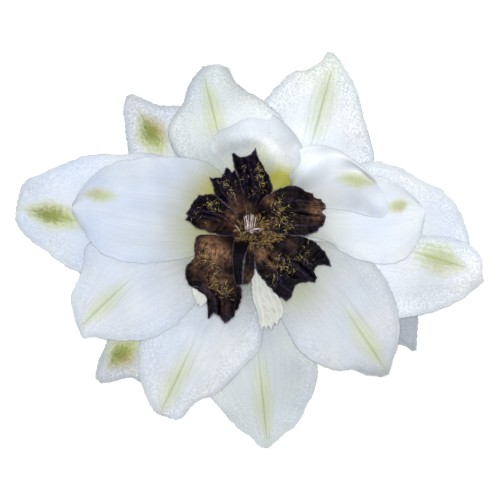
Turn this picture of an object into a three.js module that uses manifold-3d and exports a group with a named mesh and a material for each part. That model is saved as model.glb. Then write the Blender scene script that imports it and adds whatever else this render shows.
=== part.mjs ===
// A picked semi-double delphinium flower, lying on its back with its face up.
//
// Units are millimetres and +Z is up. The flower's axis is vertical: the receptacle stands on it,
// the sepals leave it in six levels, and the petals, stamens and carpels stand at its top.
// Each sepal and petal is a thin closed blade of its own, narrow at its base, where it meets the
// receptacle. Shapes are given from the axis, +X to the right and +Y to the top of the face.
import * as THREE from "three";
import { mergeVertices } from "three/addons/utils/BufferGeometryUtils.js";
import Module from "manifold-3d";

const wasm = await Module();
wasm.setup();

// ---------------------------------------------------------------- driving dimensions

const BLADE_THICKNESS = 0.64;
const SEPAL_SEAT = 0.3; // between a sepal's base and the receptacle
const PETAL_SEAT = 0.5; // a petal's base stands up, so its middle surface starts further out

const SEPAL_LOWEST_BASE = 3.4; // height of the lowest level's bases
const SEPAL_LEVEL_STEP = 0.95; // rise from one level's bases to the next
const SEPAL_BASE_HALF_WIDTH = 1.2;
const SEPAL_ROWS = 12;
const SEPAL_COLUMNS = 6;
const RIPPLE_TURNS = 11; // radians of the margins' slow wave from base to tip
const TIP_PULL = 5; // how late in a blade its tip's own line is felt

const PETAL_BASE = 10.7; // height of the dark petals' bases
const PETALOID_BASE = 9.55;
const PETAL_BASE_HALF_WIDTH = 0.7;
const PETAL_ROWS = 9;
const PETAL_LEAST_COLUMNS = 4; // a petal has a column for each stretch of its tip, and this many at least

const RECEPTACLE = {
  footRadius: 1.7, // the flat spot that the flower lies on
  waistRadius: 2.8,
  waistHeight: 1.1,
  hipRadius: 3.2,
  hipHeight: 2.5,
  topRadius: 2.2,
  topHeight: 11.3,
  sides: 24,
};

// The routes of the cut stalk and of the spur are given as [distance from the axis, height].
const STALK = {
  bearing: 259,
  radius: 1.0,
  route: [[0.5, 2.2], [2.6, 1.5], [4.8, 1.0], [17.5, 1.0]],
  sides: 8,
  steps: 8,
};
const SPUR = {
  bearing: 66,
  baseRadius: 1.35,
  tipRadius: 0.7,
  route: [[5.6, 3.2], [6.8, 2.2], [9.2, 1.4], [13.5, 1.0], [18.5, 0.7]],
  sides: 8,
  steps: 8,
};

// The stamens stand on a ring round the carpels. Each spread is the most that a draw adds.
const STAMEN = {
  count: 13,
  ringInner: 1.15,
  ringOuter: 2.05,
  ringFoot: 11.6,
  ringHeight: 0.7,
  ringSides: 18,
  filamentRadius: 0.17,
  antherRadius: 0.42,
  kneeBelowTop: 1.2,
  top: 15.9,
  topSpread: 0.8,
  reach: 2.1,
  reachSpread: 0.7,
  turn: 8, // degrees from a stamen's root to its anther
  turnSpread: 12,
  sides: 5,
  steps: 4,
  seed: 7,
};

// Three follicles fused at their foot, each with a style that leans out.
const CARPEL = {
  count: 3,
  foot: 11.6,
  footRadius: 0.82,
  footSides: 12,
  height: 1.9,
  styleBaseRadius: 0.32,
  styleTipRadius: 0.2,
  route: [[0.35, -0.6], [0.5, 1.4], [1.5, 2.9]], // heights from the follicles' top
  sides: 6,
  steps: 4,
};

// ---------------------------------------------------------------- sepals
//
// left and right are the margins' points from base to tip, looking outward, and midrib runs between
// them. tip lists the end's points from left to right. level counts up from the table. rise gives the
// midrib's height above its base at even steps to the tip, cup lifts both margins, and lift raises
// the left and the right margin alone.

const SEPALS = [
  {
    name: "sepal_spurred",
    bearing: 66,
    level: 0,
    left: [
      [-0.2, 7.5], [-0.4, 10.5], [0.4, 16.5], [2.2, 19.3],
      [4.3, 21.6], [6.5, 23.7], [8.2, 24.0], [10.7, 25.4],
    ],
    midrib: [[3.4, 6.6], [7.2, 10.8], [9.6, 14.6], [10.9, 19.5]],
    right: [
      [6.0, 5.0], [12.2, 6.0], [17.6, 8.6], [18.8, 11.0],
      [18.1, 13.8], [16.9, 18.3], [16.2, 21.0], [14.3, 24.6],
    ],
    tip: [[11.8, 26.8], [12.7, 26.7]],
    rise: [0.3, -0.6, -3.02],
    cup: 0.3,
    ripple: 0.2,
  },
  {
    name: "sepal_upper",
    bearing: 101,
    level: 1,
    left: [
      [-3.4, 5.8], [-7.6, 8.6], [-11.0, 11.6], [-12.2, 15.0],
      [-10.0, 18.9], [-9.2, 21.3], [-7.9, 23.4],
    ],
    midrib: [[-1.6, 6.6], [-3.1, 10.8], [-4.6, 15.2], [-5.6, 20.6]],
    right: [
      [1.4, 6.0], [4.6, 9.0], [6.3, 12.8], [5.2, 16.2],
      [2.2, 19.3], [-0.6, 21.0], [-2.2, 22.6],
    ],
    tip: [[-6.9, 24.6], [-5.0, 24.9], [-3.1, 24.3]],
    rise: [0.85, 1.25, 0.25],
    cup: 0.3,
    ripple: 0.2,
  },
  {
    name: "sepal_upper_left",
    bearing: 130,
    level: 0,
    left: [[-5.6, 3.4], [-12.6, 5.4], [-16.9, 8.6], [-18.0, 11.5], [-18.6, 15.0], [-18.9, 18.4]],
    midrib: [[-5.1, 5.6], [-9.6, 9.8], [-13.4, 13.8], [-16.4, 17.6]],
    right: [[-3.0, 6.0], [-4.6, 10.5], [-6.9, 15.8], [-10.0, 18.4], [-13.9, 18.9], [-16.2, 19.9]],
    tip: [[-18.4, 20.2], [-17.6, 20.6]],
    rise: [0.2, -0.7, -3.02],
    cup: 0.3,
    ripple: 0.2,
  },
  {
    name: "sepal_left_outer",
    bearing: 176,
    level: 1,
    left: [
      [-5.6, -2.6], [-10.3, -6.6], [-17.8, -8.5], [-22.3, -7.8],
      [-28.3, -4.8], [-30.6, -3.0], [-33.6, -0.8],
    ],
    midrib: [[-8.4, 0.1], [-14.8, 0.3], [-22.3, 0.6], [-29.4, 2.0]],
    right: [
      [-5.0, 3.2], [-9.6, 8.4], [-13.6, 11.2], [-19.3, 11.4],
      [-24.6, 11.1], [-30.4, 8.8], [-33.9, 6.9],
    ],
    tip: [[-35.1, 1.5], [-34.9, 3.2]],
    rise: [0.75, 1.15, -0.15],
    cup: 0.35,
    ripple: 0.2,
  },
  {
    name: "sepal_left_inner",
    bearing: 171,
    level: 3,
    left: [
      [-4.8, -1.6], [-8.1, -3.8], [-13.3, -4.8], [-17.1, -5.0],
      [-20.1, -4.3], [-22.3, -3.3], [-25.2, 0.6],
    ],
    midrib: [[-6.4, 1.4], [-11.6, 2.6], [-17.2, 3.5], [-22.4, 4.2]],
    right: [
      [-4.4, 4.6], [-6.3, 9.6], [-9.4, 10.8], [-12.9, 10.9],
      [-16.3, 10.8], [-21.9, 9.3], [-24.9, 6.3],
    ],
    tip: [[-26.6, 2.7], [-26.4, 3.9]],
    rise: [2.15, 4.05, 4.65],
    cup: 0.7,
    ripple: 0.2,
  },
  {
    name: "sepal_lower_left_inner",
    bearing: 211,
    level: 2,
    left: [
      [-3.9, -5.4], [-7.9, -10.8], [-11.1, -14.2], [-15.0, -16.3],
      [-18.6, -16.6], [-21.6, -16.3], [-23.4, -15.9],
    ],
    midrib: [[-6.4, -4.0], [-11.6, -6.4], [-17.1, -9.2], [-21.6, -12.6]],
    right: [
      [-6.0, -1.6], [-12.0, -0.8], [-18.4, -0.4], [-24.1, -2.1],
      [-25.1, -6.3], [-26.6, -10.0], [-26.1, -13.2],
    ],
    tip: [[-24.8, -16.2], [-25.2, -15.6]],
    rise: [1.6, 2.8, 2.2],
    cup: 0.4,
    ripple: 0.2,
  },
  {
    name: "sepal_lower_left_outer",
    bearing: 224,
    level: 0,
    left: [
      [-3.4, -6.4], [-6.6, -13.4], [-10.3, -19.0], [-13.3, -21.9],
      [-15.9, -22.8], [-17.8, -22.2], [-20.6, -22.8],
    ],
    midrib: [[-5.2, -5.6], [-10.3, -10.5], [-15.2, -15.4], [-19.4, -19.6]],
    right: [
      [-5.8, -3.4], [-10.6, -5.4], [-16.3, -9.0],
      [-20.1, -13.5], [-21.3, -16.6], [-22.9, -20.7],
    ],
    tip: [[-22.3, -23.1], [-23.1, -22.2]],
    rise: [0.2, -0.7, -3.02],
    cup: 0.3,
    ripple: 0.2,
  },
  {
    name: "sepal_lower_middle",
    bearing: 249,
    level: 1,
    left: [
      [0.7, -7.6], [2.1, -13.5], [1.5, -18.0], [-0.3, -20.0],
      [-4.6, -24.4], [-8.1, -25.9], [-10.0, -28.1],
    ],
    midrib: [[-2.6, -7.6], [-5.1, -12.4], [-8.2, -17.6], [-10.8, -23.4]],
    right: [
      [-4.6, -4.8], [-9.4, -8.6], [-14.4, -12.8], [-16.5, -17.6],
      [-16.2, -22.8], [-15.0, -25.8], [-13.7, -27.6],
    ],
    tip: [[-10.9, -28.4], [-12.0, -28.1]],
    rise: [0.85, 1.15, -0.35],
    cup: 0.3,
    ripple: 0.2,
  },
  {
    name: "sepal_bottom",
    bearing: 275,
    level: 0,
    left: [
      [2.6, -6.8], [6.4, -12.4], [9.6, -17.6], [10.3, -20.7],
      [9.9, -23.8], [8.7, -26.4], [7.2, -29.1], [4.6, -31.3],
    ],
    midrib: [[0.6, -9.0], [1.2, -14.6], [1.7, -20.2], [2.2, -26.4]],
    right: [
      [-2.0, -8.0], [-5.2, -14.6], [-7.3, -20.2], [-6.9, -23.2],
      [-5.2, -25.8], [-3.8, -27.4], [-2.1, -29.4], [0.3, -31.2],
    ],
    tip: [[2.8, -32.9], [1.8, -32.8]],
    rise: [0.2, -0.6, -3.02],
    cup: 0.3,
    ripple: 0.2,
  },
  {
    name: "sepal_lower_right_inner",
    bearing: 315,
    level: 3,
    left: [
      [6.2, -1.6], [13.0, -2.0], [18.1, -4.5], [20.8, -8.0],
      [22.2, -12.0], [22.5, -15.0], [22.2, -17.6], [21.3, -20.1],
    ],
    midrib: [[6.0, -5.2], [10.6, -9.2], [14.6, -13.2], [18.0, -17.6]],
    right: [
      [2.4, -6.2], [4.0, -11.2], [5.8, -15.2], [7.6, -18.1],
      [10.2, -19.9], [13.2, -21.0], [15.4, -20.8], [17.2, -21.6],
    ],
    tip: [[21.0, -21.6], [19.9, -21.9]],
    rise: [1.95, 3.55, 3.15],
    cup: 0.6,
    ripple: 0.2,
  },
  {
    name: "sepal_right_middle",
    bearing: 349,
    level: 2,
    left: [
      [7.4, 0.6], [14.6, 0.6], [22.6, -0.4], [26.1, -0.9],
      [28.9, -0.9], [31.3, -1.5], [33.3, -2.4], [34.8, -4.0],
    ],
    midrib: [[8.6, -1.8], [16.6, -3.2], [23.8, -4.2], [30.4, -5.6]],
    right: [
      [6.0, -4.0], [13.4, -9.4], [21.1, -13.2], [25.2, -12.8],
      [27.4, -12.2], [30.1, -11.2], [32.5, -9.8],
    ],
    tip: [[34.8, -6.3], [35.2, -7.6]],
    rise: [1.4, 2.4, 1.6],
    cup: 0.4,
    ripple: 0.2,
  },
  {
    name: "sepal_lower_right_outer",
    bearing: 325,
    level: 0,
    left: [[6.4, -2.8], [12.0, -5.0], [18.1, -7.4], [23.4, -9.8], [25.3, -12.9], [25.3, -15.8]],
    midrib: [[6.6, -5.6], [12.6, -9.8], [18.4, -13.6], [22.8, -16.4]],
    right: [[4.6, -5.4], [9.6, -11.2], [15.6, -16.2], [20.4, -18.0], [22.3, -17.2], [23.7, -17.6]],
    tip: [[25.2, -18.0], [24.6, -18.3]],
    rise: [0.2, -0.8, -3.02],
    cup: 0.2,
    ripple: 0.2,
  },
  {
    name: "sepal_right_outer",
    bearing: 355,
    level: 1,
    left: [
      [6.0, 2.8], [11.6, 8.0], [18.4, 10.3], [21.9, 9.6],
      [26.4, 7.2], [28.9, 6.0], [31.3, 3.3], [32.6, 0.4],
    ],
    midrib: [[8.6, 0.6], [16.6, 0.8], [24.1, 0.0], [29.8, -1.8]],
    right: [[6.2, -2.2], [13.4, -6.4], [20.6, -8.8], [26.4, -9.0], [31.0, -7.0]],
    tip: [[33.3, -3.3], [33.0, -4.8]],
    rise: [0.75, 0.95, -0.05],
    cup: 0.35,
    ripple: 0.2,
  },
  {
    name: "sepal_right_inner",
    bearing: 8,
    level: 4,
    left: [[5.8, 3.2], [9.6, 6.6], [14.4, 7.8], [18.9, 8.1], [21.9, 6.9], [24.1, 5.4]],
    midrib: [[7.6, 1.8], [12.4, 2.4], [17.2, 2.8], [22.0, 2.6]],
    right: [
      [6.4, -0.8], [11.4, -1.5], [14.1, -3.4], [17.7, -4.8],
      [20.7, -5.1], [23.4, -4.3], [25.3, -1.6],
    ],
    tip: [[25.5, 4.0], [26.4, 3.0], [26.1, 0.8]],
    rise: [2.3, 4.0, 4.3],
    cup: 0.5,
    ripple: 0.2,
  },
  {
    name: "sepal_right_curled",
    bearing: 30,
    level: 5,
    left: [[4.6, 6.6], [6.4, 9.2], [8.8, 11.4], [12.2, 12.2], [15.4, 11.1]],
    midrib: [[6.6, 4.9], [10.0, 6.4], [13.4, 7.4], [16.8, 7.6]],
    right: [[7.4, 3.4], [11.8, 3.2], [14.1, 3.0], [16.2, 2.6], [18.4, 1.8]],
    tip: [[17.8, 9.4], [19.2, 6.4], [20.4, 3.4], [20.2, 2.2]],
    rise: [2.45, 4.05, 4.65],
    cup: 0.3,
    ripple: 0.2,
    lift: [2.0, 1.4],
  },
  {
    name: "sepal_hood",
    bearing: 85,
    level: 2,
    left: [[-2.9, 6.0], [-5.4, 8.6], [-6.8, 10.8], [-6.8, 12.8]],
    midrib: [[-0.1, 7.0], [0.0, 10.5], [0.2, 13.6], [0.5, 14.8]],
    right: [[2.4, 6.0], [4.2, 9.0], [6.0, 12.2], [7.7, 13.0], [8.2, 11.2]],
    tip: [[-5.4, 13.7], [0.8, 13.4], [4.8, 11.6], [6.9, 8.9]],
    rise: [0.9, 2.3, 4.1, 6.3, 9.3, 10.9],
    cup: 0.0,
    ripple: 0.2,
  },
];

// ---------------------------------------------------------------- petals
//
// As the sepals, with a toothed tip. pleats is the number of folds across the blade, and fold is
// how far they stand up and down at the tip. base is the height of the blade's base.

const PETALS = [
  {
    name: "petal_top",
    bearing: 85,
    base: PETAL_BASE,
    left: [[-0.5, 4.2], [-1.6, 6.8], [-2.2, 9.2]],
    right: [[1.7, 4.0], [3.3, 5.6], [3.2, 7.4], [2.4, 9.2]],
    tip: [
      [-2.4, 11.4], [-1.9, 11.2], [-1.3, 11.0], [-0.8, 10.9], [-0.2, 11.0],
      [0.3, 11.2], [0.9, 12.3], [1.1, 11.2], [1.5, 10.4],
    ],
    rise: [1.7, 2.1, 2.0],
    pleats: 2,
    fold: 0.25,
  },
  {
    name: "petal_upper_left",
    bearing: 131,
    base: PETAL_BASE,
    left: [[-3.0, 3.1], [-4.6, 4.6], [-5.4, 6.2]],
    right: [[-1.2, 3.8], [-1.1, 6.2], [-1.6, 8.2]],
    tip: [
      [-5.8, 7.8], [-5.2, 7.6], [-4.6, 7.8], [-4.0, 8.1], [-3.7, 8.3],
      [-3.2, 9.2], [-2.9, 8.8], [-2.4, 8.7], [-2.0, 9.2],
    ],
    rise: [2.9, 3.3, 3.2],
    pleats: 3,
    fold: 0.25,
  },
  {
    name: "petal_left",
    bearing: 175,
    base: PETAL_BASE,
    left: [[-3.6, -0.7], [-5.6, -0.6], [-6.8, 0.0], [-8.2, 0.7]],
    right: [[-3.4, 1.6], [-4.6, 4.4], [-6.4, 5.4], [-7.8, 5.3]],
    tip: [[-9.3, 1.4], [-9.0, 1.9], [-9.4, 2.5], [-8.9, 3.1], [-8.5, 4.2]],
    rise: [1.7, 2.2, 2.1],
    pleats: 2,
    fold: 0.25,
  },
  {
    name: "petal_right",
    bearing: 20,
    base: PETAL_BASE,
    left: [[2.6, 3.0], [4.2, 5.8], [6.3, 6.5], [8.1, 6.1], [9.4, 5.2]],
    right: [[3.4, 0.0], [5.2, -0.8], [7.6, -0.4], [9.6, 0.0]],
    tip: [
      [9.9, 4.5], [10.9, 4.2], [11.4, 3.0], [11.3, 2.5],
      [10.3, 2.2], [11.4, 1.9], [11.4, 1.3], [10.7, 0.4],
    ],
    rise: [2.9, 3.4, 3.2],
    pleats: 2,
    fold: 0.2,
  },
  {
    name: "petal_lower_right",
    bearing: 325,
    base: PETAL_BASE,
    left: [[4.4, -1.4], [7.2, -0.9], [8.8, -1.5], [10.3, -2.5], [12.0, -4.0]],
    right: [[1.6, -4.0], [1.6, -6.6], [2.9, -8.5], [4.4, -9.7], [5.6, -10.5]],
    tip: [
      [12.2, -5.5], [11.1, -5.2], [10.0, -5.6], [9.4, -6.5], [10.0, -7.4],
      [9.1, -7.7], [8.1, -8.0], [7.0, -8.1], [6.5, -8.9], [6.3, -10.1],
    ],
    rise: [1.7, 2.2, 2.0],
    pleats: 2,
    fold: 0.3,
  },
  {
    name: "petal_lower_left",
    bearing: 228,
    base: PETAL_BASE,
    left: [[-1.9, -3.2], [-1.8, -5.2], [-1.6, -7.2], [-1.2, -8.8], [-1.4, -11.2]],
    right: [[-3.8, -1.6], [-7.4, -1.6], [-8.6, -3.6], [-9.3, -6.0], [-8.6, -7.9], [-6.9, -8.8]],
    tip: [
      [-2.1, -12.6], [-2.9, -13.3], [-3.6, -13.9], [-4.2, -12.9], [-4.8, -12.4],
      [-5.4, -12.4], [-6.1, -13.1], [-6.2, -11.7], [-6.5, -10.2],
    ],
    rise: [2.9, 3.4, 3.2],
    pleats: 3,
    fold: 0.3,
  },
  {
    name: "petal_folded",
    bearing: 272,
    base: PETAL_BASE,
    left: [[0.7, -3.2], [0.6, -4.4], [0.1, -6.0]],
    right: [[-1.2, -3.0], [-1.5, -4.4], [-1.5, -6.0]],
    tip: [[-0.7, -8.2], [-1.1, -8.4], [-1.5, -8.1]],
    rise: [4.1, 4.7, 4.5],
    pleats: 1,
    fold: 0.1,
  },
  {
    name: "petaloid_lower",
    bearing: 293,
    base: PETALOID_BASE,
    left: [[2.6, -4.4], [4.1, -8.2], [5.2, -10.0], [5.2, -11.5]],
    right: [[0.8, -4.8], [0.8, -9.0], [0.8, -10.9], [1.4, -12.3]],
    tip: [
      [5.1, -12.8], [4.6, -13.3], [4.1, -14.1], [3.5, -15.1], [3.0, -15.1],
      [2.6, -14.2], [2.2, -15.3], [1.8, -15.0], [1.4, -13.8],
    ],
    rise: [1.35, 1.65, 1.45],
    pleats: 3,
    fold: 0.15,
  },
  {
    name: "petaloid_left",
    bearing: 222,
    base: PETALOID_BASE,
    left: [[-2.8, -4.4], [-4.4, -8.2], [-5.6, -10.0]],
    right: [[-4.4, -3.2], [-7.6, -6.8], [-8.4, -8.7]],
    tip: [[-6.6, -10.9], [-7.3, -11.6], [-7.9, -11.3], [-7.8, -10.7], [-8.3, -9.8]],
    rise: [1.35, 1.65, 1.45],
    pleats: 1,
    fold: 0.1,
  },
];

// ---------------------------------------------------------------- materials

const finish = (color, roughness) => new THREE.MeshStandardMaterial({ color, roughness, metalness: 0 });
const WHITE_SEPAL = finish(0xf2f3f4, 0.6);
const DARK_PETAL = finish(0x2b1c28, 0.55);
const CREAM_PETALOID = finish(0xf3efe0, 0.6);
const GREEN_STALK = finish(0x8fa85a, 0.6);
const BROWN_STAMEN = finish(0x5c4a35, 0.7);
const PALE_CARPEL = finish(0xe2d6d4, 0.6);

// ---------------------------------------------------------------- solids and curves

const radians = THREE.MathUtils.degToRad;
const lerp = THREE.MathUtils.lerp;

// A closed mesh from its vertices and faces, each face three indices that turn anticlockwise from outside.
function closedMesh(vertices, faces) {
  const geometry = new THREE.BufferGeometry();
  const numbers = vertices.flatMap((v) => [v.x, v.y, v.z]);
  geometry.setAttribute("position", new THREE.Float32BufferAttribute(numbers, 3));
  geometry.setIndex(faces.flat());
  geometry.computeVertexNormals();
  return geometry;
}

function solidOf(geometry) {
  const bare = geometry.clone();
  bare.deleteAttribute("normal");
  bare.deleteAttribute("uv");
  const merged = mergeVertices(bare, 1e-4);
  const vertProperties = new Float32Array(merged.attributes.position.array);
  const triVerts = new Uint32Array(merged.index.array);
  return new wasm.Manifold(new wasm.Mesh({ numProp: 3, vertProperties, triVerts }));
}

function geometryOf(solid) {
  const mesh = solid.getMesh();
  const geometry = new THREE.BufferGeometry();
  geometry.setAttribute("position", new THREE.Float32BufferAttribute(mesh.vertProperties, 3));
  geometry.setIndex(Array.from(mesh.triVerts));
  geometry.computeVertexNormals();
  return geometry;
}

const joined = (geometries) => geometryOf(geometries.map(solidOf).reduce((whole, next) => whole.add(next)));

// A point at a distance and height on a bearing from the flower's axis.
function polar(distance, bearing, height = 0) {
  const angle = radians(bearing);
  return new THREE.Vector3(distance * Math.cos(angle), distance * Math.sin(angle), height);
}

// A profile of [radius, height] pairs turned about the flower's axis.
function turned(profile, sides) {
  const points = profile.map(([radius, height]) => new THREE.Vector2(radius, height));
  return new THREE.LatheGeometry(points, sides).rotateX(Math.PI / 2);
}

// A path on one bearing through [distance, height] pairs.
function routeOn(bearing, route, lift = 0) {
  const points = route.map(([distance, height]) => polar(distance, bearing, height + lift));
  return new THREE.CatmullRomCurve3(points);
}

// A round tube along a path, with a radius for each share of it and closed ends. Its corners start
// half a side round, so that a flat facet lies underneath.
function taperedTube(path, steps, sides, radiusAt) {
  const vertices = [];
  const faces = [];
  const up = new THREE.Vector3(0, 0, 1);
  for (let step = 0; step <= steps; step += 1) {
    const u = step / steps;
    const centre = path.getPointAt(u);
    const along = path.getTangentAt(u);
    const side = new THREE.Vector3().crossVectors(along, up);
    if (side.length() < 1e-3) side.set(1, 0, 0);
    side.normalize();
    const rise = new THREE.Vector3().crossVectors(side, along).normalize();
    for (let corner = 0; corner < sides; corner += 1) {
      const angle = ((corner + 0.5) / sides) * 2 * Math.PI;
      const reach = radiusAt(u) / Math.cos(Math.PI / sides);
      const point = centre.clone();
      point.addScaledVector(side, reach * Math.cos(angle));
      point.addScaledVector(rise, reach * Math.sin(angle));
      point.z = Math.max(point.z, 0); // it lies on the surface, not in it
      vertices.push(point);
    }
  }
  for (let step = 0; step < steps; step += 1) {
    for (let corner = 0; corner < sides; corner += 1) {
      const next = (corner + 1) % sides;
      const [a, b] = [step * sides + corner, step * sides + next];
      faces.push([a, b + sides, b], [a, a + sides, b + sides]);
    }
  }
  const last = steps * sides;
  for (let corner = 1; corner < sides - 1; corner += 1) {
    faces.push([0, corner, corner + 1], [last, last + corner + 1, last + corner]);
  }
  return closedMesh(vertices, faces);
}

// ---------------------------------------------------------------- blades

const receptacleRadius = (height) => {
  const share = (height - RECEPTACLE.hipHeight) / (RECEPTACLE.topHeight - RECEPTACLE.hipHeight);
  return lerp(RECEPTACLE.hipRadius, RECEPTACLE.topRadius, THREE.MathUtils.clamp(share, 0, 1));
};

const flatPoint = ([x, y]) => new THREE.Vector3(x, y, 0);
const flatCurve = (points) => new THREE.CatmullRomCurve3(points.map(flatPoint));
const middleOf = (a, b) => [(a[0] + b[0]) / 2, (a[1] + b[1]) / 2];

// The place on a list of evenly spaced points, joined by straight lines, at a share from 0 to 1.
function alongLine(points, share) {
  const place = share * (points.length - 1);
  const index = Math.min(Math.floor(place), points.length - 2);
  const rest = place - index;
  return [0, 1].map((axis) => lerp(points[index][axis], points[index + 1][axis], rest));
}

// The middle surface of a blade: a function of s, from 0 at the base to 1 at the tip,
// and t, from -1 at the left margin to 1 at the right one.
function bladeSurface(blade, base, baseHalfWidth, seat) {
  const baseAt = (offset) => {
    const point = polar(receptacleRadius(base) + seat, blade.bearing);
    const across = polar(1, blade.bearing - 90);
    return [point.x + across.x * offset, point.y + across.y * offset];
  };
  const tipEnd = blade.tip.length - 1;
  const left = flatCurve([baseAt(-baseHalfWidth), ...blade.left, blade.tip[0]]);
  const right = flatCurve([baseAt(baseHalfWidth), ...blade.right, blade.tip[tipEnd]]);
  const tipMiddle = middleOf(blade.tip[0], blade.tip[tipEnd]);
  const midrib = blade.midrib && flatCurve([baseAt(0), ...blade.midrib, tipMiddle]);
  const heights = [0, ...blade.rise].map((rise, index) => new THREE.Vector2(index, base + rise));
  const midribHeight = new THREE.SplineCurve(heights);
  const [leftLift, rightLift] = blade.lift ?? [0, 0];

  return (s, t) => {
    const margin = (t < 0 ? left : right).getPointAt(s);
    const rib = midrib
      ? midrib.getPointAt(s)
      : left.getPointAt(s).add(right.getPointAt(s)).multiplyScalar(0.5);
    const across = Math.abs(t);
    const point = rib.clone().lerp(margin, across);
    // The tip's own line pulls the last rows towards it.
    const corner = t < 0 ? blade.tip[0] : blade.tip[tipEnd];
    const chord = corner.map((end, axis) => lerp(tipMiddle[axis], end, across));
    const line = alongLine(blade.tip, (t + 1) / 2);
    const pull = s ** TIP_PULL;
    point.x += (line[0] - chord[0]) * pull;
    point.y += (line[1] - chord[1]) * pull;
    point.z = midribHeight.getPoint(s).y;
    const growth = Math.sin((Math.PI / 2) * s); // the relief grows from nothing at the base
    const wave = Math.sin(RIPPLE_TURNS * s + blade.bearing + t);
    const pleat = Math.cos(Math.PI * (blade.pleats ?? 0) * (t + 1));
    point.z += growth * across ** 2 * ((blade.cup ?? 0) + (blade.ripple ?? 0) * wave);
    point.z += growth * across ** 4 * (t < 0 ? leftLift : rightLift);
    point.z += s * (blade.fold ?? 0) * pleat;
    return point;
  };
}

// A closed blade of even thickness round its middle surface, cut alike on both faces.
function bladeGeometry(surface, rows, columns, thickness) {
  const middle = [];
  for (let row = 0; row <= rows; row += 1) {
    for (let column = 0; column <= columns; column += 1) {
      middle.push(surface(row / rows, (2 * column) / columns - 1));
    }
  }
  const wide = columns + 1;
  const { clamp } = THREE.MathUtils;
  const at = (row, column) => middle[clamp(row, 0, rows) * wide + clamp(column, 0, columns)];
  const normalAt = (row, column) => {
    const along = at(row + 1, column).clone().sub(at(row - 1, column));
    const across = at(row, column + 1).clone().sub(at(row, column - 1));
    return new THREE.Vector3().crossVectors(across, along).normalize();
  };
  const count = middle.length;
  const vertices = [];
  for (const side of [1, -1]) {
    for (let row = 0; row <= rows; row += 1) {
      for (let column = 0; column <= columns; column += 1) {
        const offset = (side * thickness) / 2;
        vertices.push(at(row, column).clone().addScaledVector(normalAt(row, column), offset));
      }
    }
  }
  const faces = [];
  for (let row = 0; row < rows; row += 1) {
    for (let column = 0; column < columns; column += 1) {
      const a = row * wide + column;
      const [b, c, d] = [a + 1, a + wide + 1, a + wide];
      faces.push([a, b, c], [a, c, d]);
      faces.push([a + count, c + count, b + count], [a + count, d + count, c + count]);
    }
  }
  const rim = [];
  for (let column = 0; column < columns; column += 1) rim.push(column);
  for (let row = 0; row < rows; row += 1) rim.push(row * wide + columns);
  for (let column = columns; column > 0; column -= 1) rim.push(rows * wide + column);
  for (let row = rows; row > 0; row -= 1) rim.push(row * wide);
  rim.forEach((a, index) => {
    const b = rim[(index + 1) % rim.length];
    faces.push([a, a + count, b + count], [a, b + count, b]);
  });
  return closedMesh(vertices, faces);
}

// ---------------------------------------------------------------- the pieces

function node(name, geometry, material) {
  const mesh = new THREE.Mesh(geometry, material);
  mesh.name = name;
  return mesh;
}

function spurGeometry() {
  const { bearing, route, steps, sides, baseRadius, tipRadius } = SPUR;
  return taperedTube(routeOn(bearing, route), steps, sides, (u) => lerp(baseRadius, tipRadius, u));
}

function sepal(shape) {
  const base = SEPAL_LOWEST_BASE + shape.level * SEPAL_LEVEL_STEP;
  const surface = bladeSurface(shape, base, SEPAL_BASE_HALF_WIDTH, SEPAL_SEAT);
  const blade = bladeGeometry(surface, SEPAL_ROWS, SEPAL_COLUMNS, BLADE_THICKNESS);
  const geometry = shape.name === "sepal_spurred" ? joined([blade, spurGeometry()]) : blade;
  return node(shape.name, geometry, WHITE_SEPAL);
}

function petal(shape) {
  const columns = Math.max(shape.tip.length - 1, PETAL_LEAST_COLUMNS);
  const surface = bladeSurface(shape, shape.base, PETAL_BASE_HALF_WIDTH, PETAL_SEAT);
  const geometry = bladeGeometry(surface, PETAL_ROWS, columns, BLADE_THICKNESS);
  return node(shape.name, geometry, shape.name.startsWith("petaloid") ? CREAM_PETALOID : DARK_PETAL);
}

function receptacle() {
  const cone = turned(
    [
      [0, 0],
      [RECEPTACLE.footRadius, 0],
      [RECEPTACLE.waistRadius, RECEPTACLE.waistHeight],
      [RECEPTACLE.hipRadius, RECEPTACLE.hipHeight],
      [RECEPTACLE.topRadius, RECEPTACLE.topHeight],
      [0, RECEPTACLE.topHeight],
    ],
    RECEPTACLE.sides,
  );
  const path = routeOn(STALK.bearing, STALK.route);
  const stalk = taperedTube(path, STALK.steps, STALK.sides, () => STALK.radius);
  return node("receptacle", joined([cone, stalk]), GREEN_STALK);
}

// A small repeatable draw of numbers from 0 to 1.
function drawer(seed) {
  let state = seed;
  return () => {
    state = (state * 16807) % 2147483647;
    return state / 2147483647;
  };
}

function stamens() {
  const draw = drawer(STAMEN.seed);
  const { count, ringInner, ringOuter, ringFoot, ringHeight } = STAMEN;
  const ringTop = ringFoot + ringHeight;
  const ring = turned(
    [
      [ringInner, ringFoot],
      [ringOuter, ringFoot],
      [ringOuter, ringTop],
      [ringInner, ringTop],
      [ringInner, ringFoot],
    ],
    STAMEN.ringSides,
  );
  const pieces = [ring];
  for (let index = 0; index < count; index += 1) {
    const bearing = ((index + draw() / 2) / count) * 360;
    const turn = STAMEN.turn + draw() * STAMEN.turnSpread;
    const reach = STAMEN.reach + draw() * STAMEN.reachSpread;
    const top = STAMEN.top + draw() * STAMEN.topSpread;
    const root = polar((ringInner + ringOuter) / 2, bearing, (ringFoot + ringTop) / 2);
    const knee = polar(ringOuter, bearing + turn / 2, top - STAMEN.kneeBelowTop);
    const end = polar(reach, bearing + turn, top);
    const path = new THREE.CatmullRomCurve3([root, knee, end]);
    pieces.push(taperedTube(path, STAMEN.steps, STAMEN.sides, () => STAMEN.filamentRadius));
    const anther = new THREE.IcosahedronGeometry(STAMEN.antherRadius, 0);
    pieces.push(anther.translate(end.x, end.y, end.z));
  }
  return node("stamens", joined(pieces), BROWN_STAMEN);
}

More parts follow.
